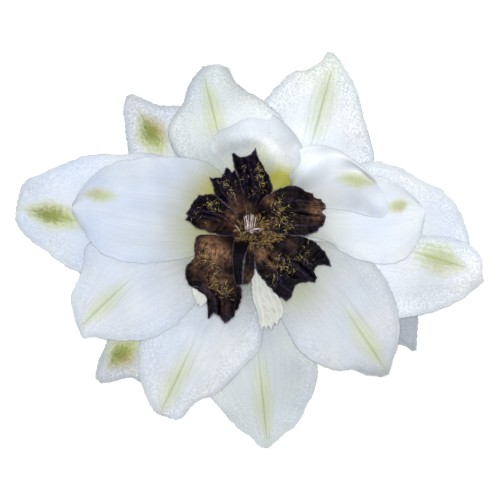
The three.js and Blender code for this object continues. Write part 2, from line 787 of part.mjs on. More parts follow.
function carpels() {
  const { count, foot, footRadius, height, styleBaseRadius, styleTipRadius } = CARPEL;
  const top = foot + height;
  const body = turned(
    [
      [0, foot],
      [footRadius, foot],
      [footRadius, top],
      [0, top],
    ],
    CARPEL.footSides,
  );
  const pieces = [body];
  for (let index = 0; index < count; index += 1) {
    const path = routeOn(90 + (index / count) * 360, CARPEL.route, top);
    const radiusAt = (u) => lerp(styleBaseRadius, styleTipRadius, u);
    pieces.push(taperedTube(path, CARPEL.steps, CARPEL.sides, radiusAt));
  }
  return node("carpels", joined(pieces), PALE_CARPEL);
}

// ---------------------------------------------------------------- the flower

const flower = new THREE.Group();
flower.add(receptacle(), stamens(), carpels());
flower.add(...SEPALS.map(sepal), ...PETALS.map(petal));

// The part's origin is the middle of the box round the flower, at the surface that it lies on.
const whole = new THREE.Box3().setFromObject(flower);
const middle = whole.getCenter(new THREE.Vector3());
flower.position.set(-middle.x, -middle.y, -whole.min.z);

const part = new THREE.Group();
part.add(flower);

export default part;
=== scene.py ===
"""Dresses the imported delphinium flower: fine sepals and petals, hairs, stamens, colour and light.

The flower lies on its back with its face up. Shapes are worked out in millimetres from the flower's
axis, +X to the right and +Y to the top of the face, and are put into the frame in metres.
"""

from __future__ import annotations

import logging
import math
from dataclasses import dataclass
from enum import Enum
from functools import partial

import bpy
import numpy as np
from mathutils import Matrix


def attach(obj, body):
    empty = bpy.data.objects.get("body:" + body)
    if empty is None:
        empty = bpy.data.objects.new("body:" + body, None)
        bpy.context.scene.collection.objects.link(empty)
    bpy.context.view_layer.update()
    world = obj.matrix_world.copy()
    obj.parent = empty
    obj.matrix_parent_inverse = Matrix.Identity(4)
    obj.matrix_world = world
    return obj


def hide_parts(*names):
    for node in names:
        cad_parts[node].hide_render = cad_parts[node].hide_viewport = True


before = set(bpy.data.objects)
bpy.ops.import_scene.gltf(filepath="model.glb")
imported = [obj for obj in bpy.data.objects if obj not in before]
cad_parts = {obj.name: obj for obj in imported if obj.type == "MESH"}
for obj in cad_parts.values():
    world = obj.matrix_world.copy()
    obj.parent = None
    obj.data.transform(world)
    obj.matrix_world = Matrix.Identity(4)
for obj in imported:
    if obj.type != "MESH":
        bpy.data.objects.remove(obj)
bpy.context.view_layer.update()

LOG = logging.getLogger("delphinium")
BODY = "root"

MM = 0.001  # metres in a millimetre
TAU = 2 * math.pi

# The kinds of node that come again and again, and their settings.
MATH, RANGE, MIX = "ShaderNodeMath", "ShaderNodeMapRange", "ShaderNodeMix"
VECTOR, SPLIT, JOIN = "ShaderNodeVectorMath", "ShaderNodeSeparateXYZ", "ShaderNodeCombineXYZ"
NOISE, ATTRIBUTE, RANDOM = "ShaderNodeTexNoise", "ShaderNodeAttribute", "FunctionNodeRandomValue"
TIMES, PLUS, TIMES_PLUS = ({"operation": name} for name in ("MULTIPLY", "ADD", "MULTIPLY_ADD"))
CLAMPED = TIMES | {"use_clamp": True}
SMOOTH = {"interpolation_type": "SMOOTHSTEP"}
# A Mix node has its sockets for every type of data side by side; these are the ones for colours.
MIX_FACTOR, MIX_FIRST, MIX_SECOND, MIX_RESULT = 0, 6, 7, 2

DRIFT_WAVES = 7  # sine waves that make one irregular field
CURVE_STEPS = 40  # places worked out between two given points of a curve
RECEPTACLE_HIP = (3.2, 2.5)  # radius and height
RECEPTACLE_TOP = (2.2, 11.3)
SEPAL_LOWEST_BASE = 3.4
SEPAL_LEVEL_STEP = 0.95
PETAL_BASE = 11.35
PETALOID_BASE = 9.9
LOWEST = 0.04  # mm, how near the floor anything comes

# What blades share. Lengths are in mm, and a wave's is from crest to crest.
TIP_PULL = 5  # how late in a blade its tip's own line is felt
TIP_CROWDING, MARGIN_CROWDING = 1.2, 0.3  # how close rows and columns come there
RIM_WIDTH = 1.2  # the margin over which a blade thins
RAGGED_START = (0.15, 0.4)  # the stretch over which a margin begins to wander
RIPPLE_TURNS = 11.0  # radians of a sepal margin's slow wave from base to tip
SWELL_LENGTH, FRILL_LENGTH, FRILL_HEIGHT = 7.5, 2.6, 0.1
KEEL_WIDTH, KEEL_DEPTH = 0.07, 0.1  # the width is a share of the sepal's
CREST_SHIFT, TIP_ROLL = (0.4, 0.95), (0.8, 1.05)  # where a crest shifts and a tip turns down
CREST_RISE, CREST_FALL = 0.5, 0.35  # how wide a crest's slopes are, as shares of half the sepal
PAD_HEIGHT, PAD_FALL = 0.12, 1.6  # how far a mark stands up, and how fast that fades
THROAT_START, PAINTED_SHADE_START, PAINTED_SHADE_REACH = 5.5, 6.5, 6.0  # from the axis: green throat, and painted shade at the base near the eye
SHADE_LENGTH, SHADE_DEPTH = 6.0, 0.025  # a sepal's slow change of tone
PAINTED_RIM_LIGHT, PAINTED_RIM_LIGHT_WIDTH = 0.07, 0.45  # painted highlight on a smooth sepal's rim: how much brighter, and how wide
HOOD_STEEPNESS, HOOD_SHOULDER = 2.5, 0.72  # how late its wall rises, and where it levels off
HOOD_WAVE_LENGTH, HOOD_WAVE_HEIGHT = 4.0, 0.12
RIDGE_HEIGHT, RIDGE_WIDTH, RIDGE_LINE = 0.42, 0.09, 0.035  # widths are shares of the petal's
SLIT_DEPTH, LIP_HEIGHT, LIP_SPREAD = 1.3, 0.3, 2.2
RIDGE_START = (0.12, 0.4)  # the stretch over which ridges rise
RIDGE_SWAY, SLIT_SWAY = 0.07, 0.04  # how far their lines sway across the petal
FOLD_LENGTH, CREASE_LENGTH, CREASE_SHARE = 2.1, 0.95, 0.45  # a petal's crumple
KNURL_LENGTH, KNURL_ROUND, KNURL_STEP = 3.0, 3.0, 0.35  # a tube's wander, round it and along it

Point = tuple[float, float]
Points = tuple[Point, ...]
Triple = tuple[float, float, float]
Numbers = tuple[float, ...]
Patches = tuple[tuple[float, float, float, float], ...]
Wanders = tuple[tuple[int, int, tuple[tuple[float, float, int], ...]], ...]
Array = np.ndarray
Attributes = dict[str, Array]
Shell = tuple[Array, list]
Node, Socket = bpy.types.Node, bpy.types.NodeSocket
Tree, Piece = bpy.types.NodeTree, bpy.types.Object


# ---------------------------------------------------------------- small tools


def linear(colour: int) -> tuple[float, float, float, float]:
    """Turns an sRGB hex value into the linear colour that a shader reads.

    Args:
        colour: the colour as 0xRRGGBB.

    Returns:
        Red, green, blue and an alpha of one.
    """
    shares = [(colour >> shift & 0xFF) / 255 for shift in (16, 8, 0)]
    red, green, blue = (x / 12.92 if x <= 0.04045 else ((x + 0.055) / 1.055) ** 2.4 for x in shares)
    return red, green, blue, 1.0


def add_node(tree: Tree, kind: str, inputs: dict | tuple = (), **settings: object) -> Node:
    """Adds a node, with its settings and its links.

    Args:
        tree: the shader or geometry tree that it goes into.
        kind: the node's type.
        inputs: what its inputs get, in order or by name or place: values, outputs, or nodes for their
            first outputs. A Map Range takes its value, the range it comes from and the one it goes to.
        settings: the node's own settings.

    Returns:
        The node.
    """
    node = tree.nodes.new(kind)
    for name, value in settings.items():
        setattr(node, name, value)
    for key, value in inputs.items() if isinstance(inputs, dict) else enumerate(inputs):
        if isinstance(value, bpy.types.Node):
            value = value.outputs[0]
        if isinstance(value, bpy.types.NodeSocket):
            tree.links.new(value, node.inputs[key])
        else:
            node.inputs[key].default_value = value
    return node


def repeats(length: float) -> float:
    """A pattern's scale on Object coordinates, which are metres, from the size of its grain in mm."""
    return 1 / (length * MM)


def drift(x: Array, y: Array, length: float, seed: int) -> Array:
    """A smooth irregular field made of a few sine waves in seeded directions.

    Args:
        x: first coordinate in mm.
        y: second coordinate in mm.
        length: the waves' middle length in mm.
        seed: picks the directions and phases.

    Returns:
        The field, mostly between -1 and 1.
    """
    draw = np.random.default_rng(seed)
    total = np.zeros(np.broadcast(x, y).shape)
    for _ in range(DRIFT_WAVES):
        angle, phase = draw.uniform(0, TAU, 2)
        pace = TAU / length * draw.uniform(0.55, 1.6)
        total += np.sin(pace * (x * math.cos(angle) + y * math.sin(angle)) + phase)
    return total / math.sqrt(2 * DRIFT_WAVES)


def ramp(value: Array, start: float, end: float) -> Array:
    """Rises smoothly from 0 at start to 1 at end."""
    share = np.clip((value - start) / (end - start), 0, 1)
    return share * share * (3 - 2 * share)


def polar(distance: float, bearing: float) -> Array:
    """A point at a distance on a bearing, in degrees, from the axis."""
    return distance * np.array([math.cos(math.radians(bearing)), math.sin(math.radians(bearing))])


def patches_at(x: Array, y: Array, patches: Patches) -> Array:
    """Adds up round soft patches.

    Args:
        x: first coordinate in mm.
        y: second coordinate in mm.
        patches: the middle, radius in mm and strength of each.

    Returns:
        How strong they are together at each place.
    """
    total = np.zeros(x.shape)
    for middle_x, middle_y, radius, strength in patches:
        distance = np.hypot(x - middle_x, y - middle_y)
        total = total + strength * np.exp(-((distance / radius) ** 2))
    return total


def smooth_curve(points: Array, shares: Array) -> Array:
    """Walks a centripetal Catmull-Rom curve through points evenly along its length.

    Args:
        points: the points that the curve goes through.
        shares: places on it, from 0 to 1.

    Returns:
        A point for each share.
    """
    points = np.asarray(points, float)
    ghosts = np.vstack([2 * points[0] - points[1], points, 2 * points[-1] - points[-2]])
    walk = np.linspace(0, 1, CURVE_STEPS, endpoint=False)[:, None]
    stretches = []
    for before, start, end, after in zip(ghosts, ghosts[1:], ghosts[2:], ghosts[3:]):
        pairs = ((before, start), (start, end), (end, after))
        knots = [max(np.linalg.norm(b - a) ** 0.5, 1e-4) for a, b in pairs]
        leave = (start - before) / knots[0] - (end - before) / (knots[0] + knots[1])
        leave = (leave + (end - start) / knots[1]) * knots[1]
        reach = (end - start) / knots[1] - (after - start) / (knots[1] + knots[2])
        reach = (reach + (after - end) / knots[2]) * knots[1]
        turn = 3 * (end - start) - 2 * leave - reach
        twist = 2 * (start - end) + leave + reach
        stretches.append(start + leave * walk + turn * walk**2 + twist * walk**3)
    dense = np.vstack([*stretches, points[-1:]])
    steps = np.linalg.norm(np.diff(dense, axis=0), axis=1)
    length = np.concatenate([[0], np.cumsum(steps)])
    return np.stack([np.interp(shares * length[-1], length, axis) for axis in dense.T], axis=1)


def even_heights(heights: Numbers, shares: Array) -> Array:
    """Reads a smooth curve through evenly spaced heights.

    Args:
        heights: the heights that it goes through.
        shares: places on it, from 0 to 1.

    Returns:
        The height at each place.
    """
    values = np.array([heights[0], *heights, heights[-1]], float)
    place = np.clip(shares, 0, 1) * (len(heights) - 1)
    index = np.minimum(place.astype(int), len(heights) - 2)
    rest = place - index
    before, start, end, after = (values[index + step] for step in range(4))
    leave, reach = (end - before) / 2, (after - start) / 2
    turn = 3 * (end - start) - 2 * leave - reach
    twist = 2 * (start - end) + leave + reach
    return start + leave * rest + turn * rest**2 + twist * rest**3


def axis_place() -> Array:
    """Finds the flower's axis: the middle of the receptacle's round top.

    Returns:
        Its place in the frame, in mm.
    """
    points = np.array([v.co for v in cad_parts["receptacle"].data.vertices]) / MM
    top = points[points[:, 2] > points[:, 2].max() - 0.01]
    return np.append((top.min(axis=0) + top.max(axis=0))[:2] / 2, 0.0)


AXIS = axis_place()


def new_piece(name: str, points: Array, faces: list, sharp: set[int] = frozenset()) -> Piece:
    """Makes a mesh object with its place in its mesh.

    Args:
        name: the piece's name.
        points: its vertices in mm from the axis.
        faces: its faces, anticlockwise from outside.
        sharp: the places in the list of the faces that are shaded flat.

    Returns:
        The object, linked to the scene.
    """
    mesh = bpy.data.meshes.new(name)
    mesh.from_pydata(((points + AXIS) * MM).tolist(), [], faces)
    smooth = np.ones(len(faces), bool)
    smooth[list(sharp)] = False
    mesh.polygons.foreach_set("use_smooth", smooth)
    mesh.update()
    piece = bpy.data.objects.new(name, mesh)
    bpy.context.scene.collection.objects.link(piece)
    return piece


def write_attributes(piece: Piece, attributes: Attributes) -> None:
    """Writes one number or three for each vertex.

    Args:
        piece: the piece.
        attributes: the numbers, under each attribute's name.
    """
    for name, values in attributes.items():
        kind, slot = ("FLOAT", "value") if values.ndim == 1 else ("FLOAT_VECTOR", "vector")
        layer = piece.data.attributes.new(name, kind, "POINT")
        layer.data.foreach_set(slot, values.astype(np.float32).ravel())


def settle(piece: Piece, finish: Finish, slot: str, *nodes: str) -> None:
    """Dresses a finished piece and tells the frame what it is.

    Args:
        piece: the piece, with its place in its mesh.
        finish: what it is dressed with.
        slot: not used.
        nodes: the nodes that it stands for.
    """
    piece.data.materials.clear()
    piece.data.materials.append(finish.material())
    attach(piece, BODY)
    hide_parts(*nodes)
    LOG.info("%s: %d faces, for %s", piece.name, len(piece.data.polygons), ", ".join(nodes))


# ---------------------------------------------------------------- finishes


class Finish:
    """A tissue whose material is made once: a pattern of colour, a low relief, gloss and scatter."""

    made: dict[str, bpy.types.Material] = {}
    name: str
    roughness: float
    relief: float  # mm
    relief_strength: float = 0.7
    gloss: float = 0.35
    scatter: float = 0.0
    scatter_tint: Triple = (1.0, 0.92, 0.8)
    scatter_reach: float = 0.8  # mm
    ior: float = 1.4

    def pattern(self, node: partial, here: Socket) -> tuple[Socket, Node]:
        """Builds the nodes of the colour and the relief; each finish has its own."""
        raise NotImplementedError

    def material(self) -> bpy.types.Material:
        """Makes the material on the first call, and gives the same one after that.

        Returns:
            The material.
        """
        if self.name in Finish.made:
            return Finish.made[self.name]
        material = Finish.made[self.name] = bpy.data.materials.new(self.name)
        material.use_nodes = True
        material.node_tree.nodes.clear()
        node = partial(add_node, material.node_tree)
        colour, height = self.pattern(node, node("ShaderNodeTexCoord").outputs["Object"])
        bump = {"Strength": self.relief_strength, "Distance": self.relief * MM, "Height": height}
        tissue = {
            "Base Color": colour, "Normal": node("ShaderNodeBump", bump), "Roughness": self.roughness,
            "IOR": self.ior, "Specular IOR Level": self.gloss, "Subsurface Weight": self.scatter,
            "Subsurface Radius": self.scatter_tint, "Subsurface Scale": self.scatter_reach * MM,
        }
        shader = node("ShaderNodeBsdfPrincipled", tissue)
        node("ShaderNodeOutputMaterial", {"Surface": shader})
        return material


@dataclass(frozen=True)
class SepalTissue(Finish):
    """Living white sepal: watery cells under a thin waxy skin, which scatter light.

    They look soft white with a cold shade, let light through where they are thin, are grainy towards
    the margins, where the cells stand up, and run to yellow-green in the throat and near the tip.
    """

    name: str = "white_sepal_tissue_living"
    white: int = 0xDDE1E4
    shade: int = 0xC8D4EB
    line: int = 0xBDC6CE
    sap: int = 0xBDCCB2
    rim: int = 0x8E9AA4
    throat: int = 0xC6C45C
    wash: int = 0xB9C07C
    core: int = 0x6C7428
    brown: int = 0xA89264
    vein: int = 0x8E9C48
    cloud_size: float = 9.0  # mm, the slow change between white and shade
    crepe_size: float = 0.9  # the skin's fine creases
    cell_size: float = 0.3  # a few cells together, as coarse as it needs to show
    roughness: float = 0.55
    relief: float = 0.07
    scatter: float = 0.5
    scatter_tint: Triple = (1.0, 0.96, 0.86)
    scatter_reach: float = 0.7

    def pattern(self, node: partial, here: Socket) -> tuple[Socket, Node]:
        """Builds the nodes: tissue, grain, rim, throat, mark and veins, one over another.

        Args:
            node: adds a node to the material.
            here: the place on the object.

        Returns:
            The colour and the height.
        """
        names = ("place", "mark", "look", "tone")
        place, mark, look, tone = (node(ATTRIBUTE, attribute_name=name).outputs["Vector"] for name in names)
        edge, throat = (node(ATTRIBUTE, attribute_name=name).outputs["Fac"] for name in ("edge", "throat"))
        along, across, crisp = node(SPLIT, (mark,)).outputs
        wash, veins, brown = node(SPLIT, (look,)).outputs
        level, sap, lines = node(SPLIT, (tone,)).outputs

        cloud = node(NOISE, {"Vector": here, "Scale": repeats(self.cloud_size), "Detail": 2.0})
        crepe = node(NOISE, {"Vector": here, "Scale": repeats(self.crepe_size), "Detail": 2.0})
        cells = node("ShaderNodeTexVoronoi", {"Vector": here, "Scale": repeats(self.cell_size)})
        grain = node(NOISE, {"Vector": here, "Scale": repeats(self.cell_size), "Detail": 3.0})
        fan = node(VECTOR, (place, (2.6, 24.0, 0.0)), **TIMES)
        fan = node(VECTOR, (fan, cloud.outputs["Color"]), **PLUS)
        fan = node(NOISE, {"Vector": fan, "Scale": 1.0, "Detail": 4.0})

        # The tissue, from its own white to the lines, the green sap, the rim and the throat.
        grainy = node(RANGE, (edge, 0.0, 5.0, 1.0, 0.28), **SMOOTH)
        grainy = node(MATH, (grainy, crisp), **TIMES)
        cold = node(RANGE, (sap, 0.0, -1.0, 0.0, 0.8))
        cloudy = node(RANGE, (cloud, 0.35, 0.7, 0.0, 0.5))
        cloudy = node(MATH, (cloudy, cold), use_clamp=True, **PLUS)
        lined = node(RANGE, (fan, 0.42, 0.75, 0.0, 1.0))
        lined = node(MATH, (lined, lines), **TIMES)
        rim = node(RANGE, (edge, 0.0, 1.2, 0.62, 0.0), **SMOOTH)
        dotted = node(RANGE, (grain, 0.42, 0.6, 0.0, 1.2))
        rim = node(MATH, (rim, dotted), **TIMES)
        rim = node(MATH, (rim, crisp), **CLAMPED)
        pull = node(RANGE, (fan, 0.3, 0.7, 0.85, 1.1))
        green = node(MATH, (throat, pull), **CLAMPED)
        colour = linear(self.white)
        tints = (self.shade, self.line, self.sap, self.rim, self.throat)
        for share, tint in zip((cloudy, lined, sap, rim, green), tints):
            layers = {MIX_FACTOR: share, MIX_FIRST: colour, MIX_SECOND: linear(tint)}
            colour = node(MIX, layers, data_type="RGBA").outputs[MIX_RESULT]
        salt = node(RANGE, (grain, 0.3, 0.7, -0.3, 0.22))
        pits = node(RANGE, (cells, 0.2, 0.8, 0.03, -0.05))
        salt = node(MATH, (salt, pits), **PLUS)
        salt = node(MATH, (salt, grainy, 1.0), **TIMES_PLUS)
        # level brings the sepal's tone, with its painted light and shade, into the colour.
        bright = node(MATH, (salt, level), **TIMES)
        colour = node(VECTOR, {0: colour, "Scale": bright}, operation="SCALE").outputs[0]

        # The mark draws together towards its tip; a noise along it makes its outline ragged.
        pointed = node(RANGE, (along, 1.2, 0.1, 0.3, 1.0), **SMOOTH)
        trailing = node(RANGE, (along, 0.1, -1.2, 1.0, 0.75))
        waist = node(MATH, (pointed, trailing), **TIMES)
        spread = node(MATH, (across, waist), operation="DIVIDE")
        flat = node(JOIN, (along, spread))
        reach = node(VECTOR, (flat,), operation="LENGTH").outputs["Value"]
        frayed = node(VECTOR, (flat, (0.8, 3.4, 0.0)), **TIMES)
        frayed = node(VECTOR, (frayed, place), **PLUS)
        ragged = node(NOISE, {"Vector": frayed, "Scale": 1.6, "Detail": 4.0, "Roughness": 0.6})
        offset = node(RANGE, (ragged, 0.25, 0.75, -0.26, 0.26))
        fibrous = node(RANGE, (crisp, 0.1, 0.9, 0.75, 1.0))
        offset = node(MATH, (offset, fibrous), **TIMES)
        reach = node(MATH, (reach, offset), **PLUS)
        cover = node(RANGE, (reach, 0.2, 1.2, 1.0, 0.0), **SMOOTH)
        inner = node(RANGE, (reach, 0.05, 0.95, 1.0, 0.0), **SMOOTH)
        outward = node(RANGE, (along, -0.8, 0.5, 0.35, 1.15))
        inner = node(MATH, (inner, outward), **TIMES)
        speckle = node(RANGE, (grain, 0.3, 0.7, 0.85, 1.1))
        core = node(MATH, (wash, 3.0), operation="POWER")
        core = node(MATH, (inner, core), **CLAMPED)
        cover = node(MATH, (cover, wash), **TIMES)
        cover = node(MATH, (cover, speckle), **CLAMPED)
        stain = linear(self.wash)
        for share, tint in ((core, self.core), (brown, self.brown)):
            layers = {MIX_FACTOR: share, MIX_FIRST: stain, MIX_SECOND: linear(tint)}
            stain = node(MIX, layers, data_type="RGBA").outputs[MIX_RESULT]

        # Veins run through the mark: the middle one, and weaker broken ones on both sides of it.
        threads = node(VECTOR, (flat, (0.45, 9.5, 0.0)), **TIMES)
        threads = node(NOISE, {"Vector": threads, "Scale": 1.0, "Detail": 2.0})
        threads = node(RANGE, (threads, 0.5, 0.68, 0.0, 0.7), **SMOOTH)
        bent = node(MATH, (offset, 0.12, spread), **TIMES_PLUS)
        sideways = node(MATH, (bent,), operation="ABSOLUTE")
        within = node(RANGE, (sideways, 0.5, 1.0, 1.0, 0.0), **SMOOTH)
        threads = node(MATH, (threads, within), **TIMES)
        rib = node(RANGE, (sideways, 0.02, 0.13, 0.85, 0.0), **SMOOTH)
        stroke = node(MATH, (threads, rib), operation="MAXIMUM")
        outer = node(RANGE, (along, 0.75, 1.0, 1.0, 0.0))
        inward = node(RANGE, (along, -1.35, -0.3, 0.0, 1.0))
        for share in (outer, inward, veins, speckle):
            stroke = node(MATH, (stroke, share), **CLAMPED)
        for share, tint in ((cover, stain), (stroke, linear(self.vein))):
            layers = {MIX_FACTOR: share, MIX_FIRST: colour, MIX_SECOND: tint}
            colour = node(MIX, layers, data_type="RGBA").outputs[MIX_RESULT]

        # Low relief: standing cells near the margins, creases, and lines that fan out from the base.
        height = node(MATH, (cells, 0.4, grain), **TIMES_PLUS)
        height = node(MATH, (height, crepe), **PLUS)
        height = node(MATH, (height, grainy), **TIMES)
        height = node(MATH, (lined, 0.7, height), **TIMES_PLUS)
        return colour, height


@dataclass(frozen=True)
class DarkPetalTissue(Finish):
    """Living near-black petal: pigmented cone-shaped cells that trap the light, hence little gloss.

    It looks black, chestnut in patches and tan where it is thin near the middle; chestnut and tan are
    painted lighter where it bulges, a painted light that leaves its hollows black. It is violet along
    its ridges and the lips of its slits, a painted highlight, and at its rim.
    """

    name: str = "dark_petal_tissue_living"
    black: int = 0x070508
    violet: int = 0x110B1A
    chestnut: int = 0x382618
    tan: int = 0x9C7458
    ridge_highlight: int = 0x2C2240
    plum: int = 0x6A5A6E
    mottle_size: float = 0.7  # mm
    cone_size: float = 0.25  # several cone cells together, as coarse as it needs to show
    roughness: float = 0.42
    relief: float = 0.16
    relief_strength: float = 0.9
    gloss: float = 0.14
    ior: float = 1.42

    def pattern(self, node: partial, here: Socket) -> tuple[Socket, Node]:
        """Builds the nodes: pigment with painted light on the bulges, thin places, ridges with painted
        highlight, and rim.

        Args:
            node: adds a node to the material.
            here: the place on the object.

        Returns:
            The colour and the height.
        """
        place, hue = (node(ATTRIBUTE, attribute_name=name).outputs["Vector"] for name in ("place", "hue"))
        edge = node(ATTRIBUTE, attribute_name="edge").outputs["Fac"]
        brown, tan, ridge_highlight = node(SPLIT, (hue,)).outputs
        mottle = {"Vector": here, "Scale": repeats(self.mottle_size), "Detail": 5.0, "Roughness": 0.65}
        mottle = node(NOISE, mottle)
        strands = node(VECTOR, (place, (3.5, 26.0, 0.0)), **TIMES)
        strands = node(NOISE, {"Vector": strands, "Scale": 1.0, "Detail": 4.0})
        veiled = node(RANGE, (strands, 0.42, 0.7, 0.0, 1.0))
        patchy = node(MATH, (strands, mottle), **PLUS)
        patchy = node(RANGE, (patchy, 0.84, 1.14, 0.15, 1.4))
        rim = node(RANGE, (edge, 0.02, 0.17, 0.8, 0.0))
        colour = linear(self.black)
        tints = (self.violet, self.chestnut, self.tan, self.ridge_highlight, self.plum)
        for amount, tint in zip((veiled, brown, tan, ridge_highlight, rim), tints):
            share = node(MATH, (amount, 0.9 if amount is veiled else patchy), **CLAMPED)
            layers = {MIX_FACTOR: share, MIX_FIRST: colour, MIX_SECOND: linear(tint)}
            colour = node(MIX, layers, data_type="RGBA").outputs[MIX_RESULT]
        cones = node(NOISE, {"Vector": here, "Scale": repeats(self.cone_size), "Detail": 2.0})
        height = node(MATH, (strands, 1.0, mottle), **TIMES_PLUS)
        height = node(MATH, (cones, 0.6, height), **TIMES_PLUS)
        return colour, height


@dataclass(frozen=True)
class PlainTissue(Finish):
    """A living tissue of two mottled colours: cream petaloid, green stalk, anther, style or hair.

    Its grain runs in mm, and how it takes the light is set by its roughness and what it scatters.
    """

    name: str
    light: int
    dark: int
    mottle_size: float
    roughness: float
    relief: float = 0.05  # mm
    scatter: float = 0.0

    def pattern(self, node: partial, here: Socket) -> tuple[Socket, Node]:
        """Builds the nodes: a mottle between the two colours.

        Args:
            node: adds a node to the material.
            here: the place on the object.

        Returns:
            The colour and the height.
        """
        mottle = {"Vector": here, "Scale": repeats(self.mottle_size), "Detail": 4.0, "Roughness": 0.6}
        mottle = node(NOISE, mottle)
        share = node(RANGE, (mottle, 0.35, 0.68, 0.0, 1.0))
        layers = {MIX_FACTOR: share, MIX_FIRST: linear(self.light), MIX_SECOND: linear(self.dark)}
        colour = node(MIX, layers, data_type="RGBA").outputs[MIX_RESULT]
        return colour, mottle


WHITE_SEPAL = SepalTissue()
DARK_PETAL = DarkPetalTissue()
# Translucent and without pigment: warm white, a little darker between its veins.
CREAM_PETALOID = PlainTissue("cream_petaloid_tissue_living", 0xC8CAC6, 0xBEC1B8, 2.0, 0.55, 0.02, 0.6)
# Firm and moist: light green, streaked, with a dull waxy bloom.
GREEN_STALK = PlainTissue("green_stalk_tissue_living", 0x86A052, 0x5A7432, 1.6, 0.5, 0.12, 0.1)
# Fleshy ring in which the stamens stand: dark chestnut and moist, painted near black for the shade between
# the stamens.
CHESTNUT_RING_PAINTED_DARK = PlainTissue("chestnut_flower_base_painted_shade", 0x2C1A12, 0x0E0808, 0.6, 0.85, 0.3)
# Dry pollen sacs that have shrunk: golden to olive brown, grainy and dull.
BROWN_ANTHER = PlainTissue("brown_anther_dry", 0x866C3E, 0x0A0605, 0.4, 0.6, 0.08)
# Thin threads, broad at the foot: gold where they are thin, dark brown between.
BROWN_FILAMENT = PlainTissue("brown_filament_living", 0xB49C6E, 0x0C0706, 0.6, 0.5, 0.04)
# Smooth young pistil: pinkish white and moist.
PALE_STYLE = PlainTissue("pale_style_living", 0xE0D0CC, 0x9A7C80, 0.8, 0.32, 0.05, 0.25)
# Single-celled hairs: straw gold and glossy, they catch the light along their length.
GOLDEN_HAIR = PlainTissue("golden_petal_hair", 0xFFF0A4, 0xA0782E, 0.5, 0.3, 0.01)
# The same without pigment: short and nearly clear.
WHITE_HAIR = PlainTissue("clear_stalk_hair", 0xD4D8CC, 0xB9C0AC, 1.2, 0.4, 0.01)
# Plain paper sweep: matt, nearly white.
PAPER_FLOOR = PlainTissue("matt_white_paper", 0xFBFBFB, 0xF8F8F8, 6.0, 0.9, 0.005)


# ---------------------------------------------------------------- blades


class MarkKind(Enum):
    """How the mark near a sepal's tip looks: shares of wash, veins and brown rim."""

    NONE = (0.0, 0.0, 0.0)
    STRIPE = (0.4, 0.6, 0.0)
    BLOTCH = (1.0, 0.5, 0.9)
    LENS = (1.0, 0.4, 0.25)
    FEATHER = (0.72, 0.6, 0.35)
    SPOT = (0.75, 0.12, 0.5)


@dataclass(frozen=True)
class Mark:
    """The green mark near a sepal's tip: its kind, middle, bearing and half sizes in mm.

    brown_side says which of its sides is the brown one: 1 for the right side, looking outward.
    """

    kind: MarkKind = MarkKind.NONE
    middle: Point = (0.0, 0.0)
    bearing: float = 0.0
    half_length: float = 3.0
    half_width: float = 1.5
    brown_side: float = 1.0

    def coordinates(self, points: Array) -> tuple[Array, Array]:
        """Gives places on the mark, with 1 at its outer end and at its sides.

        Args:
            points: vertices in mm.

        Returns:
            How far along and how far across the mark each vertex is.
        """
        outward, sideways = polar(1, self.bearing), polar(1, self.bearing - 90)
        offset = points[:, :2] - np.array(self.middle)
        return offset @ outward / self.half_length, offset @ sideways / self.half_width


def receptacle_radius(height: float) -> float:
    """The receptacle's radius at a height."""
    radii, heights = zip(RECEPTACLE_HIP, RECEPTACLE_TOP)
    return float(np.interp(height, heights, radii))


